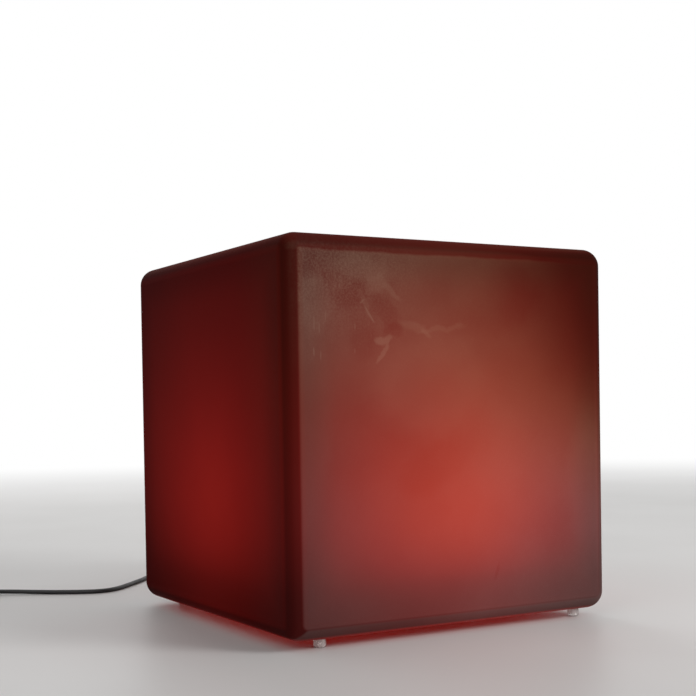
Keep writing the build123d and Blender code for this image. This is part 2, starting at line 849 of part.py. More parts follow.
# the strain relief: a rubber sleeve that tapers towards its tip, with grooves round it
boot_root_radius = gland_nut_radius - gland_nut_edge_radius
boot_tip_radius = bore_radius + boot_tip_wall
boot_groove_step = boot_length / (boot_groove_count + 2)
boot_groove_width = boot_groove_step * boot_groove_share
with BuildPart() as cord_boot:
    with BuildSketch(along_cord(boot_start)):
        Circle(boot_root_radius)
    with BuildSketch(along_cord(boot_end)):
        Circle(boot_tip_radius)
    loft()
    for groove in range(boot_groove_count):
        groove_start = boot_start + (groove + boot_first_groove) * boot_groove_step
        with BuildSketch(along_cord(groove_start)):
            Circle(2 * boot_root_radius)
            Circle(bore_radius + boot_groove_wall, mode=Mode.SUBTRACT)
        extrude(amount=boot_groove_width, mode=Mode.SUBTRACT)
    with BuildSketch(along_cord(boot_start)):
        Circle(bore_radius)
    extrude(amount=boot_length, mode=Mode.SUBTRACT)
save("cord_boot", cord_boot)

# the end of the cord's jacket, from inside the housing to the boot's tip
with BuildPart() as cord_inner_end:
    with BuildSketch(along_cord(-jacket_inside)):
        Circle(cord_radius)
    extrude(amount=jacket_inside + boot_end)
save("cord_inner_end", cord_inner_end)

# ---------------------------------------------------------------- wires inside
def wire(points, bend):
    """One round wire along straight runs with tangent bends."""
    with BuildPart() as made:
        with BuildLine() as route:
            FilletPolyline(*points, radius=bend)
        with BuildSketch(Plane(origin=route.line @ 0, z_dir=route.line % 0)):
            Circle(wire_radius)
        sweep()
    return made


with BuildPart() as supply_leads:
    for side, (hole_x, hole_z) in zip((1, -1), terminal_holes):
        lead_x = side * lead_offset
        lead_y = leads_turn + side * lead_offset
        lead_points = [
            (lead_x, gland_face - jacket_inside, gland_z),
            (lead_x, lead_y, gland_z),
            (hole_x, lead_y, hole_z),
            (hole_x, terminal_mouth + terminal_size[1] / 3, hole_z),
        ]
        add(wire(lead_points, lead_bend).part)
save("supply_leads", supply_leads)

light_pad_x = light_pad_inset - light_board_radius
arch_z = light_board_top + light_wire_arch
with BuildPart() as light_wires:
    for side in (-1, 1):
        wire_y = side * light_wire_offset
        light_wire_points = [
            (wire_hole_x, wire_y, controller_top),
            (wire_hole_x, wire_y, arch_z),
            (light_pad_x, wire_y, arch_z),
            (light_pad_x, wire_y, light_board_top),
        ]
        add(wire(light_wire_points, light_wire_bend).part)
save("light_wires", light_wires)

# ---------------------------------------------------------------- mains cord
coil_lift = cord_radius + tie_thickness + tie_gap
boot_mouth_y = gland_face + boot_end
cord_points = [
    (0, boot_mouth_y, gland_z),
    (0, 27.5, gland_z),
    (0, 64, cord_radius),
    (1, 118, cord_radius),
    (-3, 190, cord_radius),
    (2, 262, cord_radius),
    (1, 336, cord_radius),
    (-5, 404, cord_radius),
    (-23, 456, cord_radius),
    (-61, 482, cord_radius),
    (-101, 465, cord_radius),
    (-135, 421, cord_radius),
    (-166, 386, cord_radius),
    (-207, 343, cord_radius),
    (-239, 338.5, cord_radius),
    (-292, 372, cord_radius),
    (-345, 409, coil_lift),
    (-384, 432, coil_lift),
]
run_share = 0.45
stretch_lengths = []


def corner_radii(points):
    """The largest arcs that the runs beside each corner allow."""
    radii = []
    for a, b, c in zip(points, points[1:], points[2:]):
        into = Vector(b) - Vector(a)
        out = Vector(c) - Vector(b)
        half_turn = radians(into.get_angle(out)) / 2
        radii.append(run_share * min(into.length, out.length) * cos(half_turn) / sin(half_turn))
    return radii


def tube(points, label):
    """A stretch of cord, and what its arcs and volume come to."""
    radii = corner_radii(points)
    with BuildPart() as made:
        with BuildLine() as route:
            FilletPolyline(*points, radius=radii)
        with BuildSketch(Plane(origin=route.line @ 0, z_dir=route.line % 0)):
            Circle(cord_radius)
        sweep()
    length = route.wire().length
    stretch_lengths.append(length)
    expected = length * pi * cord_radius**2
    print(label, "length", round(length, 1), "radii", [round(r, 1) for r in radii])
    print(label, "volume over section times length", round(made.part.volume / expected, 5))
    return made


save("cord", tube(cord_points, "cord"))

# The coil starts where the route ends, in line with it. It spirals in over the lower layer,
# climbs in the half turn where the spiral reverses, and spirals out over the upper layer.
lead_in = cord_diameter
total_turns = turns_inward + turns_outward
half_climb = climb_turns / 2


def coil_radius(turn):
    """The distance from the coil's axis, and how fast it grows per turn."""
    past = turn - turns_inward
    if abs(past) < half_climb:
        widened = coil_pitch * past**2 / climb_turns
        return coil_inner_radius + widened, 2 * coil_pitch * past / climb_turns
    widened = coil_pitch * (abs(past) - half_climb / 2)
    return coil_inner_radius + widened, coil_pitch if past > 0 else -coil_pitch


def coil_height(turn):
    """The height of the cord's centre, and how fast it grows per turn."""
    share = min(max((turn - turns_inward) / climb_turns + 0.5, 0.0), 1.0)
    rise = coil_pitch * share**2 * (3 - 2 * share)
    return coil_lift + rise, 6 * coil_pitch * share * (1 - share) / climb_turns


last_run = Vector(cord_points[-1]) - Vector(cord_points[-2])
coil_heading = atan2(last_run.Y, last_run.X)
start_radius, start_rate = coil_radius(0)
start_angle = coil_heading - pi / 2 + atan2(start_rate / (2 * pi), start_radius)
coil_centre = (
    cord_points[-1][0] + lead_in * cos(coil_heading) - start_radius * cos(start_angle),
    cord_points[-1][1] + lead_in * sin(coil_heading) - start_radius * sin(start_angle),
)


def coil_point(turn):
    """A point of the coil's centreline."""
    radius, _ = coil_radius(turn)
    height, _ = coil_height(turn)
    angle = start_angle + 2 * pi * turn
    x = coil_centre[0] + radius * cos(angle)
    y = coil_centre[1] + radius * sin(angle)
    return Vector(x, y, height)


def coil_direction(turn):
    """The way that the cord runs there."""
    radius, growth = coil_radius(turn)
    _, climb = coil_height(turn)
    angle = start_angle + 2 * pi * turn
    round_it = 2 * pi * radius
    along_x = growth * cos(angle) - round_it * sin(angle)
    along_y = growth * sin(angle) + round_it * cos(angle)
    return Vector(along_x, along_y, climb).normalized()


def joint_of_biarc(start, start_way, end, end_way):
    """Where two arcs meet that leave start and reach end in the given directions."""
    span = end - start
    both = start_way + end_way
    a = 2 * (start_way.dot(end_way) - 1)
    b = -2 * span.dot(both)
    c = span.dot(span)
    reach = (-b - (b * b - 4 * a * c) ** 0.5) / (2 * a)
    first = start + start_way * reach
    second = end - end_way * reach
    return (first + second) * 0.5, (second - first).normalized()


quarter_count = round(total_turns * 4)
coil_stops = [total_turns * i / quarter_count for i in range(quarter_count + 1)]
coil_start = coil_point(0) - coil_direction(0) * lead_in
coil_end = coil_point(total_turns) + coil_direction(total_turns) * lead_in
with BuildPart() as cord_coil:
    with BuildLine() as coil_route:
        Line(coil_start, coil_point(0))
        for here, there in zip(coil_stops, coil_stops[1:]):
            joint, joint_way = joint_of_biarc(
                coil_point(here), coil_direction(here), coil_point(there), coil_direction(there)
            )
            TangentArc(coil_point(here), joint, tangent=coil_direction(here))
            TangentArc(joint, coil_point(there), tangent=joint_way)
        Line(coil_point(total_turns), coil_end)
    with BuildSketch(Plane(origin=coil_start, z_dir=coil_direction(0))):
        Circle(cord_radius)
    sweep()
save("cord_coil", cord_coil)
coil_length = coil_route.wire().length
coil_expected = coil_length * pi * cord_radius**2
print("coil length", round(coil_length, 1), "turns", total_turns)
print("coil volume over section times length", round(cord_coil.part.volume / coil_expected, 5))

samples_per_turn = 90
sample_count = int(total_turns * samples_per_turn) + 1
coil_samples = [coil_point(i / samples_per_turn) for i in range(sample_count)]
near_samples = samples_per_turn // 2
least_gap = min(
    (coil_samples[i] - coil_samples[j]).length - cord_diameter
    for i in range(len(coil_samples))
    for j in range(i + near_samples, len(coil_samples))
)
print("coil least gap to itself", round(least_gap, 2), "innermost bend", coil_inner_radius)

# the tie round the coil's bundle of turns
bundle_inside = coil_inner_radius - cord_radius - tie_gap
bundle_outside = coil_radius(total_turns)[0] + cord_radius + tie_gap
bundle_width = bundle_outside - bundle_inside
bundle_height = cord_diameter + coil_pitch + 2 * tie_gap
tie_plane = Plane(
    origin=(coil_centre[0], coil_centre[1], tie_thickness),
    x_dir=(cos(radians(tie_angle)), sin(radians(tie_angle)), 0),
    z_dir=(sin(radians(tie_angle)), -cos(radians(tie_angle)), 0),
)
tie_middle = ((bundle_inside + bundle_outside) / 2, bundle_height / 2)
tie_outer_width = bundle_width + 2 * tie_thickness
tie_outer_height = bundle_height + 2 * tie_thickness
with BuildPart() as cord_tie:
    with BuildSketch(tie_plane):
        with Locations(tie_middle):
            RectangleRounded(tie_outer_width, tie_outer_height, cord_radius + tie_thickness)
            RectangleRounded(bundle_width, bundle_height, cord_radius, mode=Mode.SUBTRACT)
    extrude(amount=tie_width / 2, both=True)
save("cord_tie", cord_tie)

# The last stretch comes down from the coil's end to the plug's axis: distances along the coil's
# end and to its left, and the share of the way down.
tail_offsets = [(0, 0, 0), (13, 0, 0), (34, 2.5, 1), (52, 6.0, 1)]
tail_way = coil_direction(total_turns)
tail_left = Vector(-tail_way.Y, tail_way.X, 0)
tail_drop = coil_end.Z - plug_thickness / 2
tail_points = [
    coil_end + tail_way * along + tail_left * left - Vector(0, 0, tail_drop * down)
    for along, left, down in tail_offsets
]
save("cord_tail", tube(tail_points, "cord tail"))

# ---------------------------------------------------------------- plug
plug_way = (tail_points[-1] - tail_points[-2]).normalized()
plug_left = Vector(-plug_way.Y, plug_way.X, 0)
plug_root = tail_points[-1]


def across_plug(distance):
    """The plane square to the plug's axis, that far from where the cord enters it."""
    return Plane(origin=plug_root + plug_way * distance, x_dir=plug_left, z_dir=plug_way)


neck_groove_step = plug_neck_length / (neck_groove_count + 1)
plug_floor = plug_root - Vector(0, 0, plug_thickness / 2)
shoulder = plug_neck_length + plug_length * plug_shoulder_share
with BuildPart() as plug:
    with BuildSketch(across_plug(0)):
        Circle(cord_radius + neck_root_wall)
    with BuildSketch(across_plug(plug_neck_length)):
        Circle(plug_neck_width / 2 - neck_tip_inset)
    loft()
    for groove in range(neck_groove_count):
        with BuildSketch(across_plug((groove + neck_first_groove) * neck_groove_step)):
            Circle(plug_neck_width)
            Circle(cord_radius + neck_groove_wall, mode=Mode.SUBTRACT)
        extrude(amount=neck_groove_step * neck_groove_share, mode=Mode.SUBTRACT)
    with BuildSketch(Plane(origin=plug_floor, x_dir=plug_way, z_dir=(0, 0, 1))):
        with BuildLine():
            Polyline(
                (plug_neck_length, -plug_neck_width / 2),
                (shoulder, -plug_width / 2),
                (plug_neck_length + plug_length, -plug_width / 2),
                (plug_neck_length + plug_length, plug_width / 2),
                (shoulder, plug_width / 2),
                (plug_neck_length, plug_neck_width / 2),
                close=True,
            )
        make_face()
    body = extrude(amount=plug_thickness)
    fillet(body.edges().filter_by(Axis.Z, reverse=True), radius=plug_edge_radius)
save("plug", plug)

with BuildPart() as plug_pins:
    with BuildSketch(across_plug(plug_neck_length + plug_length)):
        with Locations((-pin_spacing / 2, 0), (pin_spacing / 2, 0)):
            Circle(pin_radius)
    extrude(amount=pin_length)
    pin_tips = plug_pins.faces().sort_by(lambda face: plug_way.dot(face.center() - plug_root))[-2:]
    fillet([edge for face in pin_tips for edge in face.edges()], radius=pin_radius * pin_rounding_share)
save("plug_pins", plug_pins)

cord_total = sum(stretch_lengths) + coil_length
print("cord from the boot to the plug", round(cord_total, 1))
print("coil centre", [round(v, 1) for v in coil_centre], "first turn at", round(start_angle, 4))
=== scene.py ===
import math

import bmesh
import bpy
from mathutils import Matrix, Vector


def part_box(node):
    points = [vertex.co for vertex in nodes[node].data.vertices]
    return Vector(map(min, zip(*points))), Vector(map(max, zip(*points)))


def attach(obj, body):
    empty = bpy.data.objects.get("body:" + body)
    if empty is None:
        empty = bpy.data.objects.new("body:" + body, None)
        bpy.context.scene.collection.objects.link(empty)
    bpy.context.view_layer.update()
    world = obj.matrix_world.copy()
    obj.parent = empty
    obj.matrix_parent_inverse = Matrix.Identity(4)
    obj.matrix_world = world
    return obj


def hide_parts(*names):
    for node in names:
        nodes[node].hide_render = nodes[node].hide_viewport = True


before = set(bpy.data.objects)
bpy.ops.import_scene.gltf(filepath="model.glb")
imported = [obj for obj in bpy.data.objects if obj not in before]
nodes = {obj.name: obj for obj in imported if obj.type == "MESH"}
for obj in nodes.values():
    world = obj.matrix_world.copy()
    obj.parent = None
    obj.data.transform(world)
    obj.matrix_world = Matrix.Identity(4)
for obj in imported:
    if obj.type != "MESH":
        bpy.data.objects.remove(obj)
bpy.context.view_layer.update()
print("frame loaded,", len(nodes), "parts")


# the camera stands where the photographer did

cameraView = {
    "location": (-0.809, -1.368, 0.2564),
    "rotation": (88.81, 0.92, -30.0),  # degrees
    "lens": 65.26,
    "shiftY": 0.122,
}


def makeCamera():
    data = bpy.data.cameras.new("camera")
    data.lens = cameraView["lens"]
    data.shift_y = cameraView["shiftY"]
    data.clip_start = 0.01
    data.clip_end = 100
    camera = bpy.data.objects.new("camera", data)
    camera.location = cameraView["location"]
    camera.rotation_euler = [math.radians(angle) for angle in cameraView["rotation"]]
    bpy.context.scene.collection.objects.link(camera)
    bpy.context.scene.camera = camera


makeCamera()
print("camera placed")


# helpers that build the nodes of a finish or of the world

def newFinish(name):
    material = bpy.data.materials.new(name)
    material.use_nodes = True
    material.node_tree.nodes.clear()
    return material


def addNode(material, kind, inputs=None, **settings):
    node = material.node_tree.nodes.new(kind)
    for key, value in settings.items():
        setattr(node, key, value)
    for key, value in (inputs or {}).items():
        setInput(material, node, key, value)
    return node


def setInput(material, node, key, value):
    if isinstance(value, bpy.types.NodeSocket):
        material.node_tree.links.new(value, node.inputs[key])
    else:
        node.inputs[key].default_value = value


def objectPlace(material, scale=(1, 1, 1), turn=(0, 0, 0)):
    coords = addNode(material, "ShaderNodeTexCoord").outputs["Object"]
    inputs = {"Vector": coords, "Rotation": turn, "Scale": scale}
    return addNode(material, "ShaderNodeMapping", inputs, vector_type="POINT").outputs["Vector"]


def split(material, vector):
    return addNode(material, "ShaderNodeSeparateXYZ", {0: vector}).outputs


def noise(material, place, scale, detail=3.0, roughness=0.55):
    inputs = {"Vector": place, "Scale": scale, "Detail": detail, "Roughness": roughness}
    return addNode(material, "ShaderNodeTexNoise", inputs).outputs["Fac"]


def ramp(material, value, low, high, toLow=0.0, toHigh=1.0, smooth=True):
    inputs = {"Value": value, "From Min": low, "From Max": high, "To Min": toLow, "To Max": toHigh}
    kind = "SMOOTHSTEP" if smooth else "LINEAR"
    return addNode(material, "ShaderNodeMapRange", inputs, interpolation_type=kind).outputs["Result"]


def maths(material, operation, first, second=0.0, third=0.0, clamp=False):
    inputs = {0: first, 1: second, 2: third}
    node = addNode(material, "ShaderNodeMath", inputs, operation=operation, use_clamp=clamp)
    return node.outputs["Value"]


def times(material, first, *shares):
    for share in shares:
        first = maths(material, "MULTIPLY", first, share)
    return first


def vectorMaths(material, operation, first, second=(0, 0, 0)):
    return addNode(material, "ShaderNodeVectorMath", {0: first, 1: second}, operation=operation).outputs


def fromAxis(material, place):
    # distance from the upright line through the lamp's middle
    level = vectorMaths(material, "MULTIPLY", place, (1, 1, 0))["Vector"]
    return vectorMaths(material, "LENGTH", level)["Value"]


def mixColours(material, factor, first, second):
    # 6 and 7 are the mix node's two colours, 2 is its mixed colour
    inputs = {0: factor, 6: first, 7: second}
    return addNode(material, "ShaderNodeMix", inputs, data_type="RGBA").outputs[2]


def bump(material, height, strength, distance):
    inputs = {"Height": height, "Strength": strength, "Distance": distance}
    return addNode(material, "ShaderNodeBump", inputs).outputs["Normal"]


def shade(material, inputs):
    shader = addNode(material, "ShaderNodeBsdfPrincipled", inputs)
    addNode(material, "ShaderNodeOutputMaterial", {"Surface": shader.outputs["BSDF"]})
    return material


# helpers that shape and place the pieces

def finishPiece(name, bm, finish, sharpAngle=32.0):
    limit = math.radians(sharpAngle)
    for face in bm.faces:
        face.smooth = True
    for edge in bm.edges:
        edge.smooth = not edge.is_manifold or edge.calc_face_angle(0.0) < limit
    mesh = bpy.data.meshes.new(name)
    bm.to_mesh(mesh)
    bm.free()
    piece = bpy.data.objects.new(name, mesh)
    bpy.context.scene.collection.objects.link(piece)
    piece.data.materials.append(finish)
    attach(piece, "lamp")
    return piece


def replaceNodes(piece, slot, *replaced):
    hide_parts(*replaced)


def bevelEdges(bm, edges, radius, segments):
    return bmesh.ops.bevel(
        bm, geom=list(edges), offset=radius, offset_type="OFFSET", segments=segments,
        profile=0.5, affect="EDGES", clamp_overlap=True, material=-1,
    )


# the cord is one line from the boot's tip to the plug, with its put-away coil

cordLine = {
    "diameter": 0.006,
    "dark": (0.012, 0.012, 0.013, 1),
    "light": (0.022, 0.021, 0.021, 1),
    "roundness": 5,  # how finely its section is cut
    "smoothness": 8,  # and its line between two points
    "route": [  # centre of the cord from the boot's tip to the coil
        (0, 0.0055, 0.026), (0, 0.0275, 0.026), (0, 0.064, 0.003), (0.001, 0.118, 0.003),
        (-0.003, 0.190, 0.003), (0.002, 0.262, 0.003), (0.001, 0.336, 0.003),
        (-0.005, 0.404, 0.003), (-0.023, 0.456, 0.003), (-0.061, 0.482, 0.003),
        (-0.101, 0.465, 0.003), (-0.135, 0.421, 0.003), (-0.166, 0.386, 0.003),
        (-0.207, 0.343, 0.003), (-0.239, 0.3385, 0.003), (-0.292, 0.372, 0.003),
        (-0.345, 0.409, 0.0042), (-0.384, 0.432, 0.0042),
    ],
    "length": 2.593,
    "coilInnerRadius": 0.0244,
    "coilPitch": 0.0066,
    "coilLift": 0.0042,
    "turnsInward": 3.5,
    "turnsOutward": 3.75,
    "climbTurns": 0.5,
    "pointsPerTurn": 16,
    "leadIn": 0.006,
    # along, left, share of the way down
    "tail": [(0.013, 0, 0), (0.034, 0.0025, 1), (0.052, 0.006, 1)],
    "plugAxis": 0.00685,
}


def coilRadius(turn):
    past = turn - cordLine["turnsInward"]
    halfClimb = cordLine["climbTurns"] / 2
    if abs(past) < halfClimb:
        return cordLine["coilInnerRadius"] + cordLine["coilPitch"] * past ** 2 / cordLine["climbTurns"]
    return cordLine["coilInnerRadius"] + cordLine["coilPitch"] * (abs(past) - halfClimb / 2)


def coilHeight(turn):
    share = (turn - cordLine["turnsInward"]) / cordLine["climbTurns"] + 0.5
    share = min(max(share, 0.0), 1.0)
    return cordLine["coilLift"] + cordLine["coilPitch"] * share ** 2 * (3 - 2 * share)


def onCircle(centre, radius, angle, height):
    return Vector((centre.x + radius * math.cos(angle), centre.y + radius * math.sin(angle), height))


def coilSlant(turn):
    # the angle by which the winding's line leaves a circle there
    return math.atan2(cordLine["coilPitch"] / math.tau, coilRadius(turn))


def coilStart():
    # the coil's middle, and the angle where the route runs into it
    before, last = [Vector(point) for point in cordLine["route"][-2:]]
    heading = (last - before).xy.normalized()
    angle = math.atan2(heading.y, heading.x) - math.pi / 2 - coilSlant(0)
    start = last.xy + heading * cordLine["leadIn"]
    return start - coilRadius(0) * Vector((math.cos(angle), math.sin(angle))), angle


def cordPoints():
    centre, startAngle = coilStart()
    count = cordLine["pointsPerTurn"]
    outset = 1 / math.cos(math.pi / count)  # the line runs inside its control points
    turns = cordLine["turnsInward"] + cordLine["turnsOutward"]
    coil = []
    for i in range(1, int(turns * count)):
        turn = i / count
        angle = startAngle + math.tau * turn
        coil.append(onCircle(centre, coilRadius(turn) * outset, angle, coilHeight(turn)))
    # its end leaves the coil straight and comes down to the plug
    angle = startAngle + math.tau * turns
    way = onCircle(Vector((0, 0)), 1, angle + math.pi / 2 - coilSlant(turns), 0)
    left = Vector((-way.y, way.x, 0))
    end = onCircle(centre, coilRadius(turns), angle, coilHeight(turns)) + way * cordLine["leadIn"]
    drop = Vector((0, 0, cordLine["plugAxis"] - end.z))
    tail = [end + way * along + left * aside + drop * down for along, aside, down in cordLine["tail"]]
    return [Vector(point) for point in cordLine["route"]] + coil + [end] + tail


def makeCord(finish):
    points = cordPoints()
    curve = bpy.data.curves.new("mainsCord", "CURVE")
    curve.dimensions = "3D"
    curve.bevel_depth = cordLine["diameter"] / 2
    curve.bevel_resolution = cordLine["roundness"]
    curve.resolution_u = cordLine["smoothness"]
    curve.use_fill_caps = True
    line = curve.splines.new("NURBS")
    line.points.add(len(points) - 1)
    for place, point in zip(line.points, points):
        place.co = (*point, 1)
    line.order_u = 3
    line.use_endpoint_u = True
    line.use_smooth = True
    cord = bpy.data.objects.new("mainsCord", curve)
    bpy.context.scene.collection.objects.link(cord)
    cord.data.materials.append(finish)
    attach(cord, "lamp")
    replaceNodes(cord, "cord_jacket", "cord", "cord_coil", "cord_tail")
    return cord


def cordJacketFinish():
    material = newFinish("cordJacket")
    place = objectPlace(material)
    wear = noise(material, place, 90, 4)
    worn = ramp(material, wear, 0.35, 0.7)
    return shade(material, {
        "Base Color": mixColours(material, worn, cordLine["dark"], cordLine["light"]),
        "Roughness": ramp(material, wear, 0.3, 0.7, 0.42, 0.58),
        "Normal": bump(material, noise(material, place, 1400, 2), 0.12, 0.0003),
    })


cordJacket = cordJacketFinish()
mainsCord = makeCord(cordJacket)
print("cord laid")


# the tie round the coil

coilTie = {
    "dark": (0.018, 0.018, 0.020, 1),
    "light": (0.055, 0.054, 0.056, 1),
    "angle": -80.0,  # degrees, from the coil's middle
    "width": 0.009,
    "thickness": 0.0009,
    "gap": 0.0003,
    "cornerTrim": 0.0002,  # keeps a sliver of flat between the loop's corners
    "cornerSegments": 8,
    "tabLength": 0.016,
    "tabThinness": 0.8,
    "tabCorner": 0.003,
    "tabSegments": 5,
    "tabLift": 1.4,  # strap thicknesses over the loop's middle
    "tabShift": 0.08,  # share of the loop's width
}


def coilTieFinish():
    material = newFinish("coilTieStrap")
    place = objectPlace(material, turn=(0, 0, math.radians(-coilTie["angle"])))
    weave = addNode(material, "ShaderNodeTexWave", {
        "Vector": place, "Scale": 900.0, "Distortion": 1.5, "Detail": 2.0,
    }, wave_type="BANDS", bands_direction="DIAGONAL").outputs["Fac"]
    fuzz = noise(material, place, 1800, 4)
    return shade(material, {
        "Base Color": mixColours(material, fuzz, coilTie["dark"], coilTie["light"]),
        "Roughness": 0.85,
        "Sheen Weight": 0.35,
        "Normal": bump(material, maths(material, "ADD", weave, fuzz), 0.5, 0.0004),
    })


def makeCoilTie():
    half = cordLine["diameter"] / 2 + coilTie["gap"]
    turns = cordLine["turnsInward"] + cordLine["turnsOutward"]
    inside = cordLine["coilInnerRadius"] - half
    outside = coilRadius(turns) + half
    width = outside - inside
    height = cordLine["diameter"] + cordLine["coilPitch"] + 2 * coilTie["gap"]
    skin = coilTie["thickness"]
    bm = bmesh.new()
    size = Matrix.Diagonal((width + 2 * skin, coilTie["width"], height + 2 * skin, 1))
    bmesh.ops.create_cube(bm, size=1, matrix=size)
    ends = [face for face in bm.faces if abs(face.normal.y) > 0.9]
    bmesh.ops.delete(bm, geom=ends, context="FACES_ONLY")
    lengthwise = [edge for edge in bm.edges if abs((edge.verts[0].co - edge.verts[1].co).y) > 0.001]
    bevelEdges(bm, lengthwise, half + skin - coilTie["cornerTrim"], coilTie["cornerSegments"])
    bmesh.ops.recalc_face_normals(bm, faces=bm.faces)
    bmesh.ops.solidify(bm, geom=bm.faces[:], thickness=skin)
    # the strap's free end, pressed down on the outer side
    size = Matrix.Diagonal((coilTie["tabLength"], coilTie["width"], skin * coilTie["tabThinness"], 1))
    tab = bmesh.ops.create_cube(bm, size=1, matrix=size)["verts"]
    tabEdges = {edge for vert in tab for edge in vert.link_edges}
    upright = [edge for edge in tabEdges if abs((edge.verts[0].co - edge.verts[1].co).z) > skin / 2]
    rounded = bevelEdges(bm, upright, coilTie["tabCorner"], coilTie["tabSegments"])["faces"]
    tabVerts = {vert for face in rounded for vert in face.verts}
    tabVerts |= {vert for vert in tab if vert.is_valid}
    place = (width * coilTie["tabShift"], 0, height / 2 + skin * coilTie["tabLift"])
    bmesh.ops.translate(bm, verts=list(tabVerts), vec=place)
    bmesh.ops.translate(bm, verts=bm.verts, vec=((inside + outside) / 2, 0, height / 2 + skin))
    turn = Matrix.Rotation(math.radians(coilTie["angle"]), 4, "Z")
    middle = Matrix.Translation(coilStart()[0].to_3d())
    bmesh.ops.transform(bm, matrix=middle @ turn, verts=bm.verts)
    tie = finishPiece("coilTie", bm, coilTieFinish(), sharpAngle=50)
    replaceNodes(tie, "tie_strap", "cord_tie")
    return tie


tie = makeCoilTie()
print("cord tied")


# the cube's glowing shell

shellLow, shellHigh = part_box("cube_shell")

shell = {
    "side": shellHigh.x - shellLow.x,
    "bottom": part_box("foot_pads")[1].z,
    "edgeRadius": 0.021,
    "edgeSegments": 14,
    "wall": 0.0035,
    "recessRadius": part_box("base_housing")[1].x + 0.0015,
    "recessDepth": 0.008,
    "openingInset": 0.018,
    "mouthRadius": 0.0015,
    "mouthSegments": 4,
    "flatInset": 0.0015,  # a ring round each flat keeps it smooth beside its rounded edges
    "circleSegments": 128,
    "fineGrain": (420, 3),  # noise scale and detail of the moulded surface
    "fineShare": 0.15,
    "broadGrain": (14, 2),
}

# a span is where a change starts and ends, in metres, in a facing's share or in a noise's height
glow = {
    "source": (-0.0024, -0.0149, 0.0638),  # the light unit's bright middle
    "spread": 0.30,  # share of its light that goes every way
    "softStart": 0.003,
    "narrowing": 0.72,  # how the beam falls off to the sides
    "rimShare": 0.76,  # the walls thicken towards their edges and pass less
    "rimWidth": 0.065,
    "rimEnd": 0.018,
    "edgeShare": 0.55,  # and still less where they round
    "edgeSpan": (0.90, 0.999),
    # painted shade: the left wall glows about half as much as the front
    "leftShadeShare": 0.53,
    "leftSpan": (-0.95, -0.35),
    "topShare": 0.84,
    "topSpan": (0.05, 0.25),
    "cornerShadeShare": 0.55,  # painted shade: the top right of the front glows less
    "cornerSpan": (0.1, 0.95),
    "cloudScale": 6.0,
    "cloudSpan": (0.25, 0.75),
    "cloudShares": (0.95, 1.05),
    "floorLevel": 0.22,  # light that comes back out through the floor
    "floorSpan": (-0.65, -1.0),
    "floorDim": 0.55,  # share of it over the light unit and by the walls
    "floorRings": ((0.09, 0.17), (0.20, 0.30)),
    "colour": (1.0, 0.037, 0.028, 1),
    "hotColour": (1.0, 0.060, 0.022, 1),
    "hotSpan": (0.15, 0.5),
    "strength": 0.86,
}

# painted haze: the shell's pale milky colour, kept as painted light on the front, the top and the edges
# that face right or down, and taken off the left wall, the other rounded edges, a strip under the top
# edge and the top right of the front as painted shade
paintedHaze = {
    # the shell's deep red where painted shade takes the haze off
    "shadedBase": (0.008, 0.0008, 0.0008, 1),
    "hazyLeft": (0.104, 0.083, 0.062, 1),
    "hazyRight": (0.104, 0.083, 0.040, 1),
    "roughness": (0.50, 0.66),  # shaded and hazy
    "shine": 0.003,
    "acrossSpan": (-0.2, 0.2),
    "sideShift": -0.3,  # a wall that faces right counts as this much further left
    "hazyLow": (0.098, 0.080, 0.076, 1),  # greyer towards the floor
    "lowSpan": (0.10, 0.30),
    "usual": 0.70,  # share of the haze where no mark adds to or takes from it
    "flatSpan": (0.920, 0.985),
    "sideSpan": (0.1, 0.4),  # it stays, as painted light, on the edges that face right or down
    "lineSpan": (0.4225, 0.4275),  # and ends in a wavy line under the top edge
    "lineScale": 16.0,
    "lineWave": 0.007,
    "topSpan": (0.5, 0.9),
    "edgeHaze": 0.16,  # share of it that stays on the edges under the painted shade
    "overLine": 0.16,  # and a little more just over the line
    "overLineSpans": ((0.01, 0.12), (0.26, 0.60)),
    "lowEdgeLight": 1.25,  # painted light: more of it where the lower edges turn under
    "lowEdgeSpan": (-0.02, -0.40),
    # painted shade: the haze fades off the left wall
    "leftSpan": (-0.985, -0.55),
    "nearEdgeHighlight": 0.05,  # painted highlight: share of it on the left wall beside the front
    "nearSpan": (-0.08, -0.20),
    # painted shade: less of the haze at the top right of the front
    "shadedCorner": (0.230, -0.215, 0.430),
    "cornerReach": (0.19, 0.19, 0.26),
    "cornerShadeShare": 0.10,
    "cornerSpan": (0.35, 1.25),
    "frontSpan": (-0.85, -0.25),
    "lowLeftShare": 0.62,  # less of it at the lower left of the front
    "lowLeftSpans": ((-0.09, 0.10), (0.24, 0.36)),
    "upperLeftSpans": ((-0.06, -0.20), (0.24, 0.41)),  # where the streaks are
    "dustySpans": ((0.00, -0.16), (0.29, 0.41)),  # where the specks and lumps are
    "markSpan": (-0.9, -0.97),
    "softSpan": (1.25, 0.55),  # how softly a mark ends, in shares of its reach
    "stirScale": 60.0,  # the noise that frays the marks
    "ragged": 0.015,
    "scratchWidth": 0.002,  # marks narrower than this stay nearly straight
    "scratchRagged": 0.002,
}

grains = {  # noise scale, detail and roughness, span of its height, share of the painted haze at either end
    "cloud": ((9.0, 5, 0.6), (0.3, 0.75), (0.88, 1.06)),
    "streaks": ((240, 3), (0.45, 0.75), (-0.05, 0.12)),
    "specks": ((400, 5, 0.8), (0.40, 0.66), (-0.24, 0.36)),
    "lumps": ((48, 4, 0.6), (0.35, 0.68), (-0.10, 0.12)),
    "dust": ((900, 2), (0.5, 0.8), (0.97, 1.15)),
}
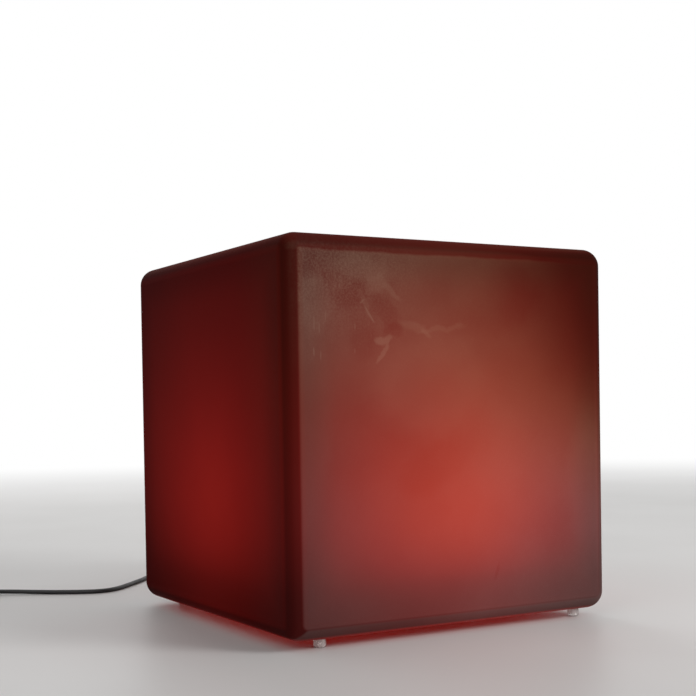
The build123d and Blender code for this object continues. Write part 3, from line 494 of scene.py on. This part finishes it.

# marks on the front that add to or take from the painted haze: middle x and z, half length, half width,
# tilt, haze added
marks = [
    (-0.137, 0.375, 0.021, 0.014, 20, -0.11),
    (-0.094, 0.357, 0.027, 0.012, -51, -0.12),
    (-0.124, 0.327, 0.018, 0.022, 0, -0.10),
    (-0.086, 0.338, 0.013, 0.008, 0, -0.10),
    (-0.125, 0.404, 0.044, 0.013, -8, 0.16),
    (-0.184, 0.408, 0.040, 0.018, 0, -0.11),
    (-0.182, 0.362, 0.018, 0.032, 0, 0.14),
    (-0.106, 0.387, 0.013, 0.012, 0, 0.15),
    (-0.088, 0.378, 0.014, 0.004, -38, 0.20),
    (-0.115, 0.354, 0.010, 0.0012, -56, 0.55),
    (-0.124, 0.368, 0.004, 0.0012, 40, 0.35),
    (-0.1010, 0.3275, 0.0085, 0.0046, -10, 0.40),
    (-0.0905, 0.3275, 0.0065, 0.0036, 20, 0.30),
    (-0.0985, 0.3150, 0.0150, 0.0030, 50, 0.34),
    (-0.057, 0.3415, 0.022, 0.0050, -16, 0.16),
    (-0.020, 0.3410, 0.030, 0.0034, 8, 0.15),
    (-0.043, 0.3350, 0.010, 0.0030, -34, 0.20),
    (-0.1825, 0.344, 0.008, 0.0010, 90, 0.40),
    (-0.1765, 0.339, 0.006, 0.0008, 90, 0.32),
    (-0.1690, 0.351, 0.006, 0.0008, 88, 0.28),
    (-0.1832, 0.314, 0.005, 0.0009, 90, 0.36),
    (-0.1752, 0.310, 0.005, 0.0008, 90, 0.30),
    (-0.1334, 0.341, 0.004, 0.0008, 90, 0.34),
    (-0.1338, 0.315, 0.003, 0.0008, 90, 0.28),
    (-0.030, 0.190, 0.055, 0.026, 24, -0.07),
    (-0.040, 0.278, 0.080, 0.056, 0, 0.20),
    (0.030, 0.383, 0.085, 0.052, 0, -0.16),
    (-0.110, 0.095, 0.095, 0.085, 0, 0.07),
    (0.186, 0.160, 0.036, 0.090, 0, 0.12),
    (0.105, 0.205, 0.090, 0.075, 0, 0.09),
    (-0.192, 0.235, 0.030, 0.110, 0, 0.08),
    (-0.121, 0.366, 0.016, 0.0036, -66, 0.14),
    (0.048, 0.067, 0.010, 0.0030, 70, -0.12),
]


def shellLight(material, place, facing):
    # light from the unit in the floor falls on each wall by its slant and distance
    ray = vectorMaths(material, "SUBTRACT", place, glow["source"])["Vector"]
    distance = vectorMaths(material, "LENGTH", ray)["Value"]
    slope = maths(material, "DIVIDE", split(material, ray)["Z"], distance)
    # half of (slope + sqrt(slope * slope + a little)), so that the beam starts softly
    soft = maths(material, "SQRT", maths(material, "MULTIPLY_ADD", slope, slope, glow["softStart"]))
    upward = times(material, maths(material, "ADD", slope, soft), 0.5)
    beam = times(material, maths(material, "POWER", upward, glow["narrowing"]), 1 - glow["spread"])
    beam = maths(material, "ADD", beam, glow["spread"] / 2)
    ahead = vectorMaths(material, "DOT_PRODUCT", ray, facing)["Value"]
    slant = maths(material, "DIVIDE", maths(material, "MAXIMUM", ahead, 0.0), distance)
    reach = maths(material, "POWER", maths(material, "DIVIDE", shell["side"] / 2, distance), 2.0)
    return times(material, beam, slant, reach)


def shellFloorLight(material, place, way):
    # the floor glows most between the light unit and the walls
    away = fromAxis(material, place)
    inner, outer = glow["floorRings"]
    return times(
        material, ramp(material, away, *inner, glow["floorDim"], 1.0),
        ramp(material, away, *outer, 1.0, glow["floorDim"]),
        ramp(material, way["Z"], *glow["floorSpan"], 0.0, glow["floorLevel"]),
    )


def ofThree(material, operation, size):
    # the largest or smallest of a vector's three parts
    return maths(material, operation, maths(material, operation, size["X"], size["Y"]), size["Z"])


def rimNearness(material, place):
    # the middle one of three distances from the cube's centre, which grows towards a wall's edge
    centre = (0, 0, shell["bottom"] + shell["side"] / 2)
    away = vectorMaths(material, "SUBTRACT", place, centre)["Vector"]
    away = vectorMaths(material, "ABSOLUTE", away)["Vector"]
    size = split(material, away)
    total = vectorMaths(material, "DOT_PRODUCT", away, (1, 1, 1))["Value"]
    total = maths(material, "SUBTRACT", total, ofThree(material, "MAXIMUM", size))
    return maths(material, "SUBTRACT", total, ofThree(material, "MINIMUM", size))


def flatShare(material, facing):
    # 1 on the flats, less where an edge turns
    size = split(material, vectorMaths(material, "ABSOLUTE", facing)["Vector"])
    return ofThree(material, "MAXIMUM", size)


def ellipse(material, place, middle, reach, tilt=0.0):
    # distance from the middle, 1 at the ellipse's edge
    inputs = {"Vector": place, "Location": middle, "Rotation": (0, tilt, 0), "Scale": reach}
    moved = addNode(material, "ShaderNodeMapping", inputs, vector_type="TEXTURE").outputs["Vector"]
    return vectorMaths(material, "LENGTH", moved)["Value"]


def cornerDistance(material, place, way):
    # small near the top right of the front, large on every other side
    away = ellipse(material, place, paintedHaze["shadedCorner"], paintedHaze["cornerReach"])
    return maths(material, "ADD", away, ramp(material, way["Y"], *paintedHaze["frontSpan"], 0.0, 2.0))


def within(material, spot, spans):
    # rises with both spans, the first across and the second up
    across, up = spans
    return times(material, ramp(material, spot["X"], *across), ramp(material, spot["Z"], *up))


def grain(material, place, name):
    kind, span, shares = grains[name]
    return ramp(material, noise(material, place, *kind), *span, *shares)


def paintedHazeGrain(material, place, spot):
    # clouds and dust all over, downward streaks, specks and lumps at the upper left
    drawnDown = objectPlace(material, scale=(1, 1, 0.12))
    upperLeft = within(material, spot, paintedHaze["upperLeftSpans"])
    streaks = times(material, grain(material, drawnDown, "streaks"), upperLeft)
    specks = maths(material, "ADD", grain(material, place, "specks"), grain(material, place, "lumps"))
    dusty = within(material, spot, paintedHaze["dustySpans"])
    return (
        grain(material, place, "cloud"), maths(material, "ADD", streaks, 1.0),
        maths(material, "MULTIPLY_ADD", specks, dusty, 1.0), grain(material, place, "dust"),
    )


def paintedHazeOnEdges(material, place, way, spot, flat):
    # 1 on the flats, and little on the edges and in the strip at the top, where painted shade takes the
    # haze away
    aside = maths(material, "SUBTRACT", way["X"], way["Z"])
    onFlats = ramp(material, flat, *paintedHaze["flatSpan"])
    kept = maths(material, "MAXIMUM", onFlats, ramp(material, aside, *paintedHaze["sideSpan"]))
    waves = noise(material, place, paintedHaze["lineScale"], 3)
    height = maths(material, "MULTIPLY_ADD", waves, paintedHaze["lineWave"], spot["Z"])
    underLine = ramp(material, height, *paintedHaze["lineSpan"], 1.0, 0.0)
    underLine = maths(material, "MAXIMUM", underLine, ramp(material, way["Z"], *paintedHaze["topSpan"]))
    rise, fall = paintedHaze["overLineSpans"]
    overLine = ramp(material, way["Z"], *rise)
    overLine = times(material, overLine, ramp(material, way["Z"], *fall, 1.0, 0.0))
    least = maths(material, "MULTIPLY_ADD", overLine, paintedHaze["overLine"], paintedHaze["edgeHaze"])
    return maths(material, "MAXIMUM", times(material, kept, underLine), least)


def paintedHazeMarks(material, place, onFront):
    inputs = {"Vector": place, "Scale": paintedHaze["stirScale"], "Detail": 4.0}
    stir = addNode(material, "ShaderNodeTexNoise", inputs).outputs["Color"]
    stir = vectorMaths(material, "SUBTRACT", stir, (0.5, 0.5, 0.5))["Vector"]
    total = 0.0
    for x, z, halfLength, halfWidth, tilt, amount in marks:
        ragged = paintedHaze["ragged"] if halfWidth > paintedHaze["scratchWidth"] else paintedHaze["scratchRagged"]
        inputs = {0: stir, 1: (ragged, ragged, ragged), 2: place}
        frayed = addNode(material, "ShaderNodeVectorMath", inputs, operation="MULTIPLY_ADD").outputs
        middle = (x, shellLow.y, z)
        reach = (halfLength, 1.0, halfWidth)
        away = ellipse(material, frayed["Vector"], middle, reach, math.radians(-tilt))
        total = maths(material, "ADD", total, ramp(material, away, *paintedHaze["softSpan"], 0.0, amount))
    return times(material, total, onFront)


def shellPaintedHaze(material, place, way, spot, corner, flat):
    # the shell's pale haze on the flats, kept as painted light on the front, and taken off the edges,
    # the left wall and the top right of the front as painted shade
    kept = paintedHazeOnEdges(material, place, way, spot, flat)
    across, up = paintedHaze["lowLeftSpans"]
    outside = ramp(material, spot["X"], *across)
    outside = maths(material, "MAXIMUM", outside, ramp(material, spot["Z"], *up))
    thin = paintedHaze["lowLeftShare"]
    share = times(
        material, kept,
        # painted shade on the left wall
        ramp(material, way["X"], *paintedHaze["leftSpan"]),
        paintedHaze["usual"],
        # painted shade at the top right of the front
        ramp(material, corner, *paintedHaze["cornerSpan"], paintedHaze["cornerShadeShare"], 1.0),
        # painted light where the lower edges turn under
        ramp(material, way["Z"], *paintedHaze["lowEdgeSpan"], 1.0, paintedHaze["lowEdgeLight"]),
        maths(material, "MULTIPLY_ADD", outside, 1 - thin, thin),
        *paintedHazeGrain(material, place, spot),
    )
    # a painted highlight on the left wall beside the front
    beside = ramp(material, spot["Y"], *paintedHaze["nearSpan"], 0.0, paintedHaze["nearEdgeHighlight"])
    share = maths(material, "MAXIMUM", share, beside)
    onFront = times(material, ramp(material, way["Y"], *paintedHaze["markSpan"]), kept)
    return maths(material, "ADD", share, paintedHazeMarks(material, place, onFront), clamp=True)


def shellFinish():
    material = newFinish("litShell")
    coords = addNode(material, "ShaderNodeTexCoord").outputs
    place = coords["Object"]
    facing = coords["Normal"]
    way = split(material, facing)
    spot = split(material, place)
    flat = flatShare(material, facing)
    half = shell["side"] / 2
    rim = (half - glow["rimWidth"], half - glow["rimEnd"])
    cloud = noise(material, place, glow["cloudScale"], 3)
    corner = cornerDistance(material, place, way)
    light = times(
        material, shellLight(material, place, facing),
        ramp(material, flat, *glow["edgeSpan"], glow["edgeShare"], 1.0),
        ramp(material, rimNearness(material, place), *rim, 1.0, glow["rimShare"]),
        # painted shade that dims the left wall's glow
        ramp(material, way["X"], *glow["leftSpan"], glow["leftShadeShare"], 1.0),
        ramp(material, way["Z"], *glow["topSpan"], 1.0, glow["topShare"]),
        ramp(material, cloud, *glow["cloudSpan"], *glow["cloudShares"]),
        # painted shade at the top right of the front
        ramp(material, corner, *glow["cornerSpan"], glow["cornerShadeShare"], 1.0),
    )
    light = maths(material, "MAXIMUM", light, shellFloorLight(material, place, way))
    hot = ramp(material, light, *glow["hotSpan"])
    share = shellPaintedHaze(material, place, way, spot, corner, flat)
    across = maths(material, "MULTIPLY_ADD", way["X"], paintedHaze["sideShift"], spot["X"])
    across = ramp(material, across, *paintedHaze["acrossSpan"], smooth=False)
    haze = mixColours(material, across, paintedHaze["hazyLeft"], paintedHaze["hazyRight"])
    haze = mixColours(material, ramp(material, spot["Z"], *paintedHaze["lowSpan"]), paintedHaze["hazyLow"], haze)
    fine = times(material, noise(material, place, *shell["fineGrain"]), shell["fineShare"])
    relief = maths(material, "ADD", fine, noise(material, place, *shell["broadGrain"]))
    return shade(material, {
        "Base Color": mixColours(material, share, paintedHaze["shadedBase"], haze),
        "Roughness": ramp(material, share, 0.0, 1.0, *paintedHaze["roughness"]),
        "Specular IOR Level": paintedHaze["shine"],
        "Emission Color": mixColours(material, hot, glow["colour"], glow["hotColour"]),
        "Emission Strength": times(material, light, glow["strength"]),
        "Normal": bump(material, relief, 0.06, 0.002),
    })


def only(kind, geometry):
    return [item for item in geometry if isinstance(item, kind)]


def makeShell():
    side = shell["side"]
    bm = bmesh.new()
    middle = Matrix.Translation((0, 0, shell["bottom"] + side / 2))
    bmesh.ops.create_cube(bm, size=side, matrix=middle)
    bevelEdges(bm, bm.edges, shell["edgeRadius"], shell["edgeSegments"])
    flats = [face for face in bm.faces if face.calc_area() > (side / 2) ** 2]
    bmesh.ops.inset_individual(bm, faces=flats, thickness=shell["flatInset"], use_even_offset=True)
    floorFace = min(flats, key=lambda face: face.calc_center_median().z)
    edge = list(floorFace.edges)
    bmesh.ops.delete(bm, geom=[floorFace], context="FACES_ONLY")
    ring = bmesh.ops.create_circle(
        bm, cap_ends=False, radius=shell["recessRadius"], segments=shell["circleSegments"],
        matrix=Matrix.Translation((0, 0, shell["bottom"])),
    )
    mouth = list({edge for vert in ring["verts"] for edge in vert.link_edges})
    bmesh.ops.bridge_loops(bm, edges=edge + mouth)
    # the floor steps up to the opening
    up = bmesh.ops.extrude_edge_only(bm, edges=mouth)["geom"]
    bmesh.ops.translate(bm, verts=only(bmesh.types.BMVert, up), vec=(0, 0, shell["recessDepth"]))
    inward = bmesh.ops.extrude_edge_only(bm, edges=only(bmesh.types.BMEdge, up))["geom"]
    shrink = 1 - shell["openingInset"] / shell["recessRadius"]
    bmesh.ops.scale(bm, verts=only(bmesh.types.BMVert, inward), vec=(shrink, shrink, 1))
    bevelEdges(bm, mouth, shell["mouthRadius"], shell["mouthSegments"])
    bmesh.ops.recalc_face_normals(bm, faces=bm.faces)
    bmesh.ops.solidify(bm, geom=bm.faces[:], thickness=shell["wall"])
    piece = finishPiece("glowShell", bm, shellFinish())
    replaceNodes(piece, "shell", "cube_shell")


makeShell()
print("shell made")


# the clear bumper feet

bumper = {
    "dull": (0.80, 0.76, 0.74, 1),
    "clear": (0.90, 0.87, 0.85, 1),
    "edgeRadius": 0.0030,
    "topRadius": 0.0006,
    "draft": 0.0004,
    "arcSteps": 8,
    "segments": 48,
}


def clearRubberFinish():
    material = newFinish("clearRubber")
    place = objectPlace(material)
    cloud = noise(material, place, 260, 3)
    return shade(material, {
        "Base Color": mixColours(material, cloud, bumper["dull"], bumper["clear"]),
        "Roughness": ramp(material, cloud, 0.3, 0.7, 0.16, 0.30),
        "Transmission Weight": 0.45,
        "IOR": 1.49,
        "Normal": bump(material, noise(material, place, 900, 2), 0.05, 0.0003),
    })


def bumperOutline(radius, height):
    # half of the foot's section, from the middle of its sole to the middle of its top
    edge = bumper["edgeRadius"]
    rim = bumper["topRadius"]
    outline = [(0, 0)]
    for i in range(bumper["arcSteps"] + 1):
        angle = math.pi / 2 * i / bumper["arcSteps"]
        outline.append((radius - edge + edge * math.sin(angle), edge - edge * math.cos(angle)))
    top = radius - bumper["draft"]
    outline += [(top, height - rim), (top - rim * 0.3, height - rim * 0.3)]  # a small rounding
    return outline + [(top - rim, height), (0, height)]


def makeFoot(node, finish):
    low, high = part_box(node)
    middle = (low + high) / 2
    bm = bmesh.new()
    verts = [bm.verts.new((r, 0, z)) for r, z in bumperOutline((high.x - low.x) / 2, high.z - low.z)]
    edges = [bm.edges.new(pair) for pair in zip(verts, verts[1:])]
    bmesh.ops.spin(
        bm, geom=verts + edges, cent=(0, 0, 0), axis=(0, 0, 1), angle=math.tau,
        steps=bumper["segments"], use_merge=True, use_duplicate=False,
    )
    bmesh.ops.remove_doubles(bm, verts=bm.verts, dist=1e-6)
    bmesh.ops.translate(bm, verts=bm.verts, vec=(middle.x, middle.y, low.z))
    bmesh.ops.recalc_face_normals(bm, faces=bm.faces)
    piece = finishPiece(node + "Bumper", bm, finish, sharpAngle=50)
    replaceNodes(piece, "foot_rubber", node)


clearRubber = clearRubberFinish()
for node in ("front_left_foot", "front_right_foot", "rear_left_foot", "rear_right_foot"):
    makeFoot(node, clearRubber)
print("feet made")


# finishes of the parts that stay as they are

mottledLooks = {
    "housingPlastic": {
        "dark": (0.70, 0.69, 0.66, 1), "light": (0.78, 0.77, 0.74, 1),
        "patches": 40, "grain": 1500, "roughness": (0.42, 0.55), "relief": 0.16,
        "parts": ["base_housing", "base_lid", "button_switch", "vent_plug"],
    },
    "gasketRubber": {
        "dark": (0.012, 0.012, 0.012, 1), "light": (0.030, 0.029, 0.028, 1),
        "patches": 120, "grain": 1200, "roughness": (0.62, 0.80), "relief": 0.20,
        "parts": ["rim_gasket", "lid_gasket", "dome_gasket", "gland_seal", "button_seal"],
    },
    "adhesiveFoam": {
        "dark": (0.42, 0.41, 0.39, 1), "light": (0.62, 0.60, 0.58, 1),
        "patches": 900, "grain": 2600, "roughness": (0.75, 0.92), "relief": 0.45,
        "parts": ["foot_pads"],
    },
    "buttonRubber": {
        "dark": (0.016, 0.016, 0.018, 1), "light": (0.034, 0.034, 0.037, 1),
        "patches": 160, "grain": 2200, "roughness": (0.48, 0.62), "relief": 0.18,
        "parts": ["mode_button"],
    },
    "plungerPlastic": {
        "dark": (0.58, 0.57, 0.53, 1), "light": (0.68, 0.66, 0.62, 1),
        "patches": 200, "grain": 1800, "roughness": (0.38, 0.50), "relief": 0.10,
        "parts": ["switch_plunger"],
    },
    "glandNylon": {
        "dark": (0.010, 0.010, 0.011, 1), "light": (0.024, 0.024, 0.025, 1),
        "patches": 140, "grain": 1600, "roughness": (0.40, 0.56), "relief": 0.22,
        "parts": ["cable_gland", "gland_locknut", "gland_nut"],
    },
    "bootRubber": {
        "dark": (0.008, 0.008, 0.009, 1), "light": (0.020, 0.020, 0.021, 1),
        "patches": 180, "grain": 1400, "roughness": (0.46, 0.62), "relief": 0.15,
        "parts": ["cord_boot"],
    },
    "plugPlastic": {
        "dark": (0.009, 0.009, 0.010, 1), "light": (0.022, 0.022, 0.023, 1),
        "patches": 110, "grain": 2400, "roughness": (0.44, 0.60), "relief": 0.24,
        "parts": ["plug"],
    },
    "wireJacket": {
        "dark": (0.085, 0.030, 0.012, 1), "light": (0.150, 0.056, 0.024, 1),
        "patches": 130, "grain": 900, "roughness": (0.30, 0.42), "relief": 0.06,
        "parts": ["supply_leads", "light_wires"],
    },
    "coreFerrite": {
        "dark": (0.018, 0.018, 0.020, 1), "light": (0.042, 0.041, 0.042, 1),
        "patches": 300, "grain": 1900, "roughness": (0.50, 0.68), "relief": 0.30,
        "parts": ["transformer_core"],
    },
    "terminalPlastic": {
        "dark": (0.014, 0.115, 0.040, 1), "light": (0.026, 0.170, 0.062, 1),
        "patches": 220, "grain": 1700, "roughness": (0.40, 0.52), "relief": 0.12,
        "parts": ["terminal_block"],
    },
    "chipEpoxy": {
        "dark": (0.006, 0.006, 0.007, 1), "light": (0.016, 0.016, 0.017, 1),
        "patches": 500, "grain": 3200, "roughness": (0.55, 0.70), "relief": 0.22,
        "parts": ["controller_chips"],
    },
}

metalLooks = {
    "screwSteel": {
        "dark": (0.50, 0.50, 0.49, 1), "light": (0.68, 0.68, 0.67, 1), "stretch": (1, 1, 0.15),
        "grain": 1500, "roughness": (0.22, 0.38),
        "parts": [
            "rim_screws", "lid_screws", "dome_screws", "heat_sink_screws", "light_board_screws",
            "driver_board_screws", "controller_board_screws",
        ],
    },
    "insertBrass": {
        "dark": (0.52, 0.34, 0.10, 1), "light": (0.72, 0.50, 0.19, 1), "stretch": (1, 1, 0.20),
        "grain": 1300, "roughness": (0.24, 0.40), "parts": ["rim_inserts"],
    },
    "sinkAluminium": {
        "dark": (0.56, 0.57, 0.58, 1), "light": (0.72, 0.73, 0.74, 1), "stretch": (0.08, 1, 1),
        "grain": 700, "roughness": (0.30, 0.46), "parts": ["heat_sink"],
    },
    "pinNickel": {
        "dark": (0.62, 0.60, 0.56, 1), "light": (0.78, 0.76, 0.72, 1), "stretch": (0.10, 0.10, 1),
        "grain": 900, "roughness": (0.14, 0.28), "parts": ["plug_pins"],
    },
}

boardLooks = {
    "whiteBoard": {
        "mask": (0.78, 0.78, 0.75, 1), "track": (0.70, 0.70, 0.67, 1), "parts": ["light_board"],
    },
    "greenBoard": {
        "mask": (0.012, 0.110, 0.032, 1), "track": (0.028, 0.190, 0.060, 1),
        "parts": ["driver_board", "controller_board"],
    },
}

litLooks = {
    "opalDome": {
        "base": (0.60, 0.42, 0.40, 1), "light": (1.0, 0.075, 0.045, 1),
        "strength": 1.6, "reach": 0.070, "outer": 0.45, "parts": ["diffuser_dome"],
    },
    "litChip": {
        "base": (0.80, 0.62, 0.30, 1), "light": (1.0, 0.060, 0.030, 1),
        "strength": 5.0, "reach": 0.090, "outer": 0.45, "parts": ["light_chips"],
    },
}

windingTape = {
    "dark": (0.60, 0.36, 0.012, 1),
    "light": (0.74, 0.50, 0.030, 1),
    "wraps": 120.0,
    "parts": ["transformer_winding"],
}

capacitorSleeve = {
    "dark": (0.008, 0.010, 0.020, 1),
    "light": (0.018, 0.022, 0.040, 1),
    "stripe": (0.42, 0.43, 0.46, 1),
    "stripes": 28.0,
    "parts": ["driver_capacitors"],
}


def dressParts(finish, parts):
    for part in parts:
        for slot in nodes[part].material_slots:
            slot.material = finish


def mottledFinish(name, look):
    material = newFinish(name)
    place = objectPlace(material)
    patches = noise(material, place, look["patches"], 4)
    worn = ramp(material, patches, 0.35, 0.7)
    return shade(material, {
        "Base Color": mixColours(material, worn, look["dark"], look["light"]),
        "Roughness": ramp(material, patches, 0.3, 0.75, *look["roughness"]),
        "Normal": bump(material, noise(material, place, look["grain"], 3), look["relief"], 0.0003),
    })


def metalFinish(name, look):
    material = newFinish(name)
    lines = noise(material, objectPlace(material, scale=look["stretch"]), look["grain"], 4)
    tarnish = noise(material, objectPlace(material), 130, 3)
    dulled = ramp(material, tarnish, 0.35, 0.7)
    return shade(material, {
        "Base Color": mixColours(material, dulled, look["light"], look["dark"]),
        "Metallic": 1.0,
        "Roughness": ramp(material, times(material, lines, tarnish), 0.1, 0.4, *look["roughness"]),
        "Normal": bump(material, lines, 0.10, 0.0002),
    })


def boardFinish(name, look):
    # copper tracks show faintly under the solder mask
    material = newFinish(name)
    place = objectPlace(material)
    bricks = addNode(material, "ShaderNodeTexBrick", {
        "Vector": place, "Scale": 60.0, "Mortar Size": 0.06, "Mortar Smooth": 0.2,
        "Brick Width": 0.9, "Row Height": 0.35,
    }, offset=0.37, squash=0.6).outputs["Fac"]
    rough = noise(material, place, 800, 3)
    relief = maths(material, "ADD", bricks, times(material, rough, 0.2))
    return shade(material, {
        "Base Color": mixColours(material, bricks, look["mask"], look["track"]),
        "Roughness": ramp(material, rough, 0.3, 0.7, 0.26, 0.38),
        "Normal": bump(material, relief, 0.12, 0.0002),
    })


def litFinish(name, look):
    # brightest in the middle, over the densest chips
    material = newFinish(name)
    place = objectPlace(material)
    strengths = (look["strength"], look["strength"] * look["outer"])
    fade = ramp(material, fromAxis(material, place), 0.0, look["reach"], *strengths)
    cloud = noise(material, place, 90, 3)
    return shade(material, {
        "Base Color": look["base"],
        "Roughness": ramp(material, cloud, 0.3, 0.7, 0.34, 0.46),
        "Emission Color": look["light"],
        "Emission Strength": times(material, fade, ramp(material, cloud, 0.2, 0.8, 0.92, 1.05)),
        "Normal": bump(material, noise(material, place, 1200, 2), 0.05, 0.0002),
    })


def windingTapeFinish():
    # yellow tape in overlapping wraps
    material = newFinish("windingTape")
    place = objectPlace(material)
    wraps = addNode(material, "ShaderNodeTexWave", {
        "Vector": place, "Scale": windingTape["wraps"], "Distortion": 0.6, "Detail": 1.0,
    }, wave_type="BANDS", bands_direction="Z", wave_profile="SAW").outputs["Fac"]
    cloud = noise(material, place, 240, 3)
    return shade(material, {
        "Base Color": mixColours(material, cloud, windingTape["dark"], windingTape["light"]),
        "Roughness": ramp(material, cloud, 0.3, 0.7, 0.24, 0.36),
        "Normal": bump(material, wraps, 0.18, 0.0003),
    })


def capacitorFinish():
    # dark shrink sleeve with a pale stripe down one side
    material = newFinish("capacitorSleeve")
    place = objectPlace(material)
    stripe = addNode(material, "ShaderNodeTexWave", {
        "Vector": place, "Scale": capacitorSleeve["stripes"],
    }, wave_type="BANDS", bands_direction="X").outputs["Fac"]
    cloud = noise(material, place, 220, 3)
    sleeve = mixColours(material, cloud, capacitorSleeve["dark"], capacitorSleeve["light"])
    onStripe = ramp(material, stripe, 0.88, 0.93)
    return shade(material, {
        "Base Color": mixColours(material, onStripe, sleeve, capacitorSleeve["stripe"]),
        "Roughness": ramp(material, cloud, 0.3, 0.7, 0.20, 0.32),
        "Normal": bump(material, noise(material, place, 700, 2), 0.06, 0.0002),
    })


for makeFinish, looks in (
    (mottledFinish, mottledLooks), (metalFinish, metalLooks),
    (boardFinish, boardLooks), (litFinish, litLooks),
):
    for name, look in looks.items():
        dressParts(makeFinish(name, look), look["parts"])
dressParts(windingTapeFinish(), windingTape["parts"])
dressParts(capacitorFinish(), capacitorSleeve["parts"])
dressParts(cordJacket, ["cord_inner_end"])
print("parts dressed")


# the studio floor and its light

stage = {
    "floorRadius": 14.0,
    "floorColour": (0.72, 0.71, 0.70, 1),
    "floorSegments": 96,
    "fadeSpan": (1.6, 4.5),  # from the floor's own colour to the white backdrop
    "skyLevel": 0.38,  # the light that the backdrop sheds, less than it shows
}

lamps = {  # place, aim, size, power
    "keyLamp": ((1.9, -2.6, 1.7), (0, 0, 0.2), 1.6, 62),
    "fillLamp": ((-2.4, -1.6, 1.9), (0, 0, 0.2), 1.8, 10),
    "rearLamp": ((0.6, 2.8, 2.2), (0, 0, 0.2), 1.6, 22),
}


def seenDirectly(material):
    path = addNode(material, "ShaderNodeLightPath").outputs
    seen = maths(material, "ADD", path["Is Camera Ray"], path["Is Glossy Ray"])
    return maths(material, "ADD", seen, path["Is Transmission Ray"], clamp=True)


def makeFloor():
    material = newFinish("paleFloor")
    place = addNode(material, "ShaderNodeTexCoord").outputs["Object"]
    away = vectorMaths(material, "LENGTH", place)["Value"]
    shader = addNode(material, "ShaderNodeBsdfPrincipled", {
        "Base Color": stage["floorColour"],
        "Roughness": ramp(material, noise(material, place, 3, 4), 0.3, 0.7, 0.42, 0.5),
        "Specular IOR Level": 0.35,
    })
    white = addNode(material, "ShaderNodeEmission", {"Color": (1, 1, 1, 1), "Strength": 1.0})
    fade = times(material, seenDirectly(material), ramp(material, away, *stage["fadeSpan"]))
    inputs = {0: fade, 1: shader.outputs["BSDF"], 2: white.outputs["Emission"]}
    both = addNode(material, "ShaderNodeMixShader", inputs)
    addNode(material, "ShaderNodeOutputMaterial", {"Surface": both.outputs["Shader"]})
    bm = bmesh.new()
    radius = stage["floorRadius"]
    bmesh.ops.create_circle(bm, cap_ends=True, radius=radius, segments=stage["floorSegments"])
    mesh = bpy.data.meshes.new("studioFloor")
    bm.to_mesh(mesh)
    bm.free()
    floor = bpy.data.objects.new("studioFloor", mesh)
    floor.data.materials.append(material)
    bpy.context.scene.collection.objects.link(floor)


def makeWorld():
    world = bpy.data.worlds.new("studioWorld")
    world.use_nodes = True
    world.node_tree.nodes.clear()
    level = ramp(world, seenDirectly(world), 0.0, 1.0, stage["skyLevel"], 1.0, smooth=False)
    sky = addNode(world, "ShaderNodeBackground", {"Color": (1, 1, 1, 1), "Strength": level})
    addNode(world, "ShaderNodeOutputWorld", {"Surface": sky.outputs["Background"]})
    bpy.context.scene.world = world


def makeLamps():
    for name, (place, aim, size, power) in lamps.items():
        data = bpy.data.lights.new(name, "AREA")
        data.shape = "DISK"
        data.size = size
        data.energy = power
        lamp = bpy.data.objects.new(name, data)
        lamp.location = place
        lamp.rotation_euler = (Vector(place) - Vector(aim)).to_track_quat("Z", "Y").to_euler()
        lamp.visible_glossy = False
        bpy.context.scene.collection.objects.link(lamp)


makeFloor()
makeWorld()
makeLamps()
bpy.context.scene.view_settings.view_transform = "Standard"
print("stage lit")
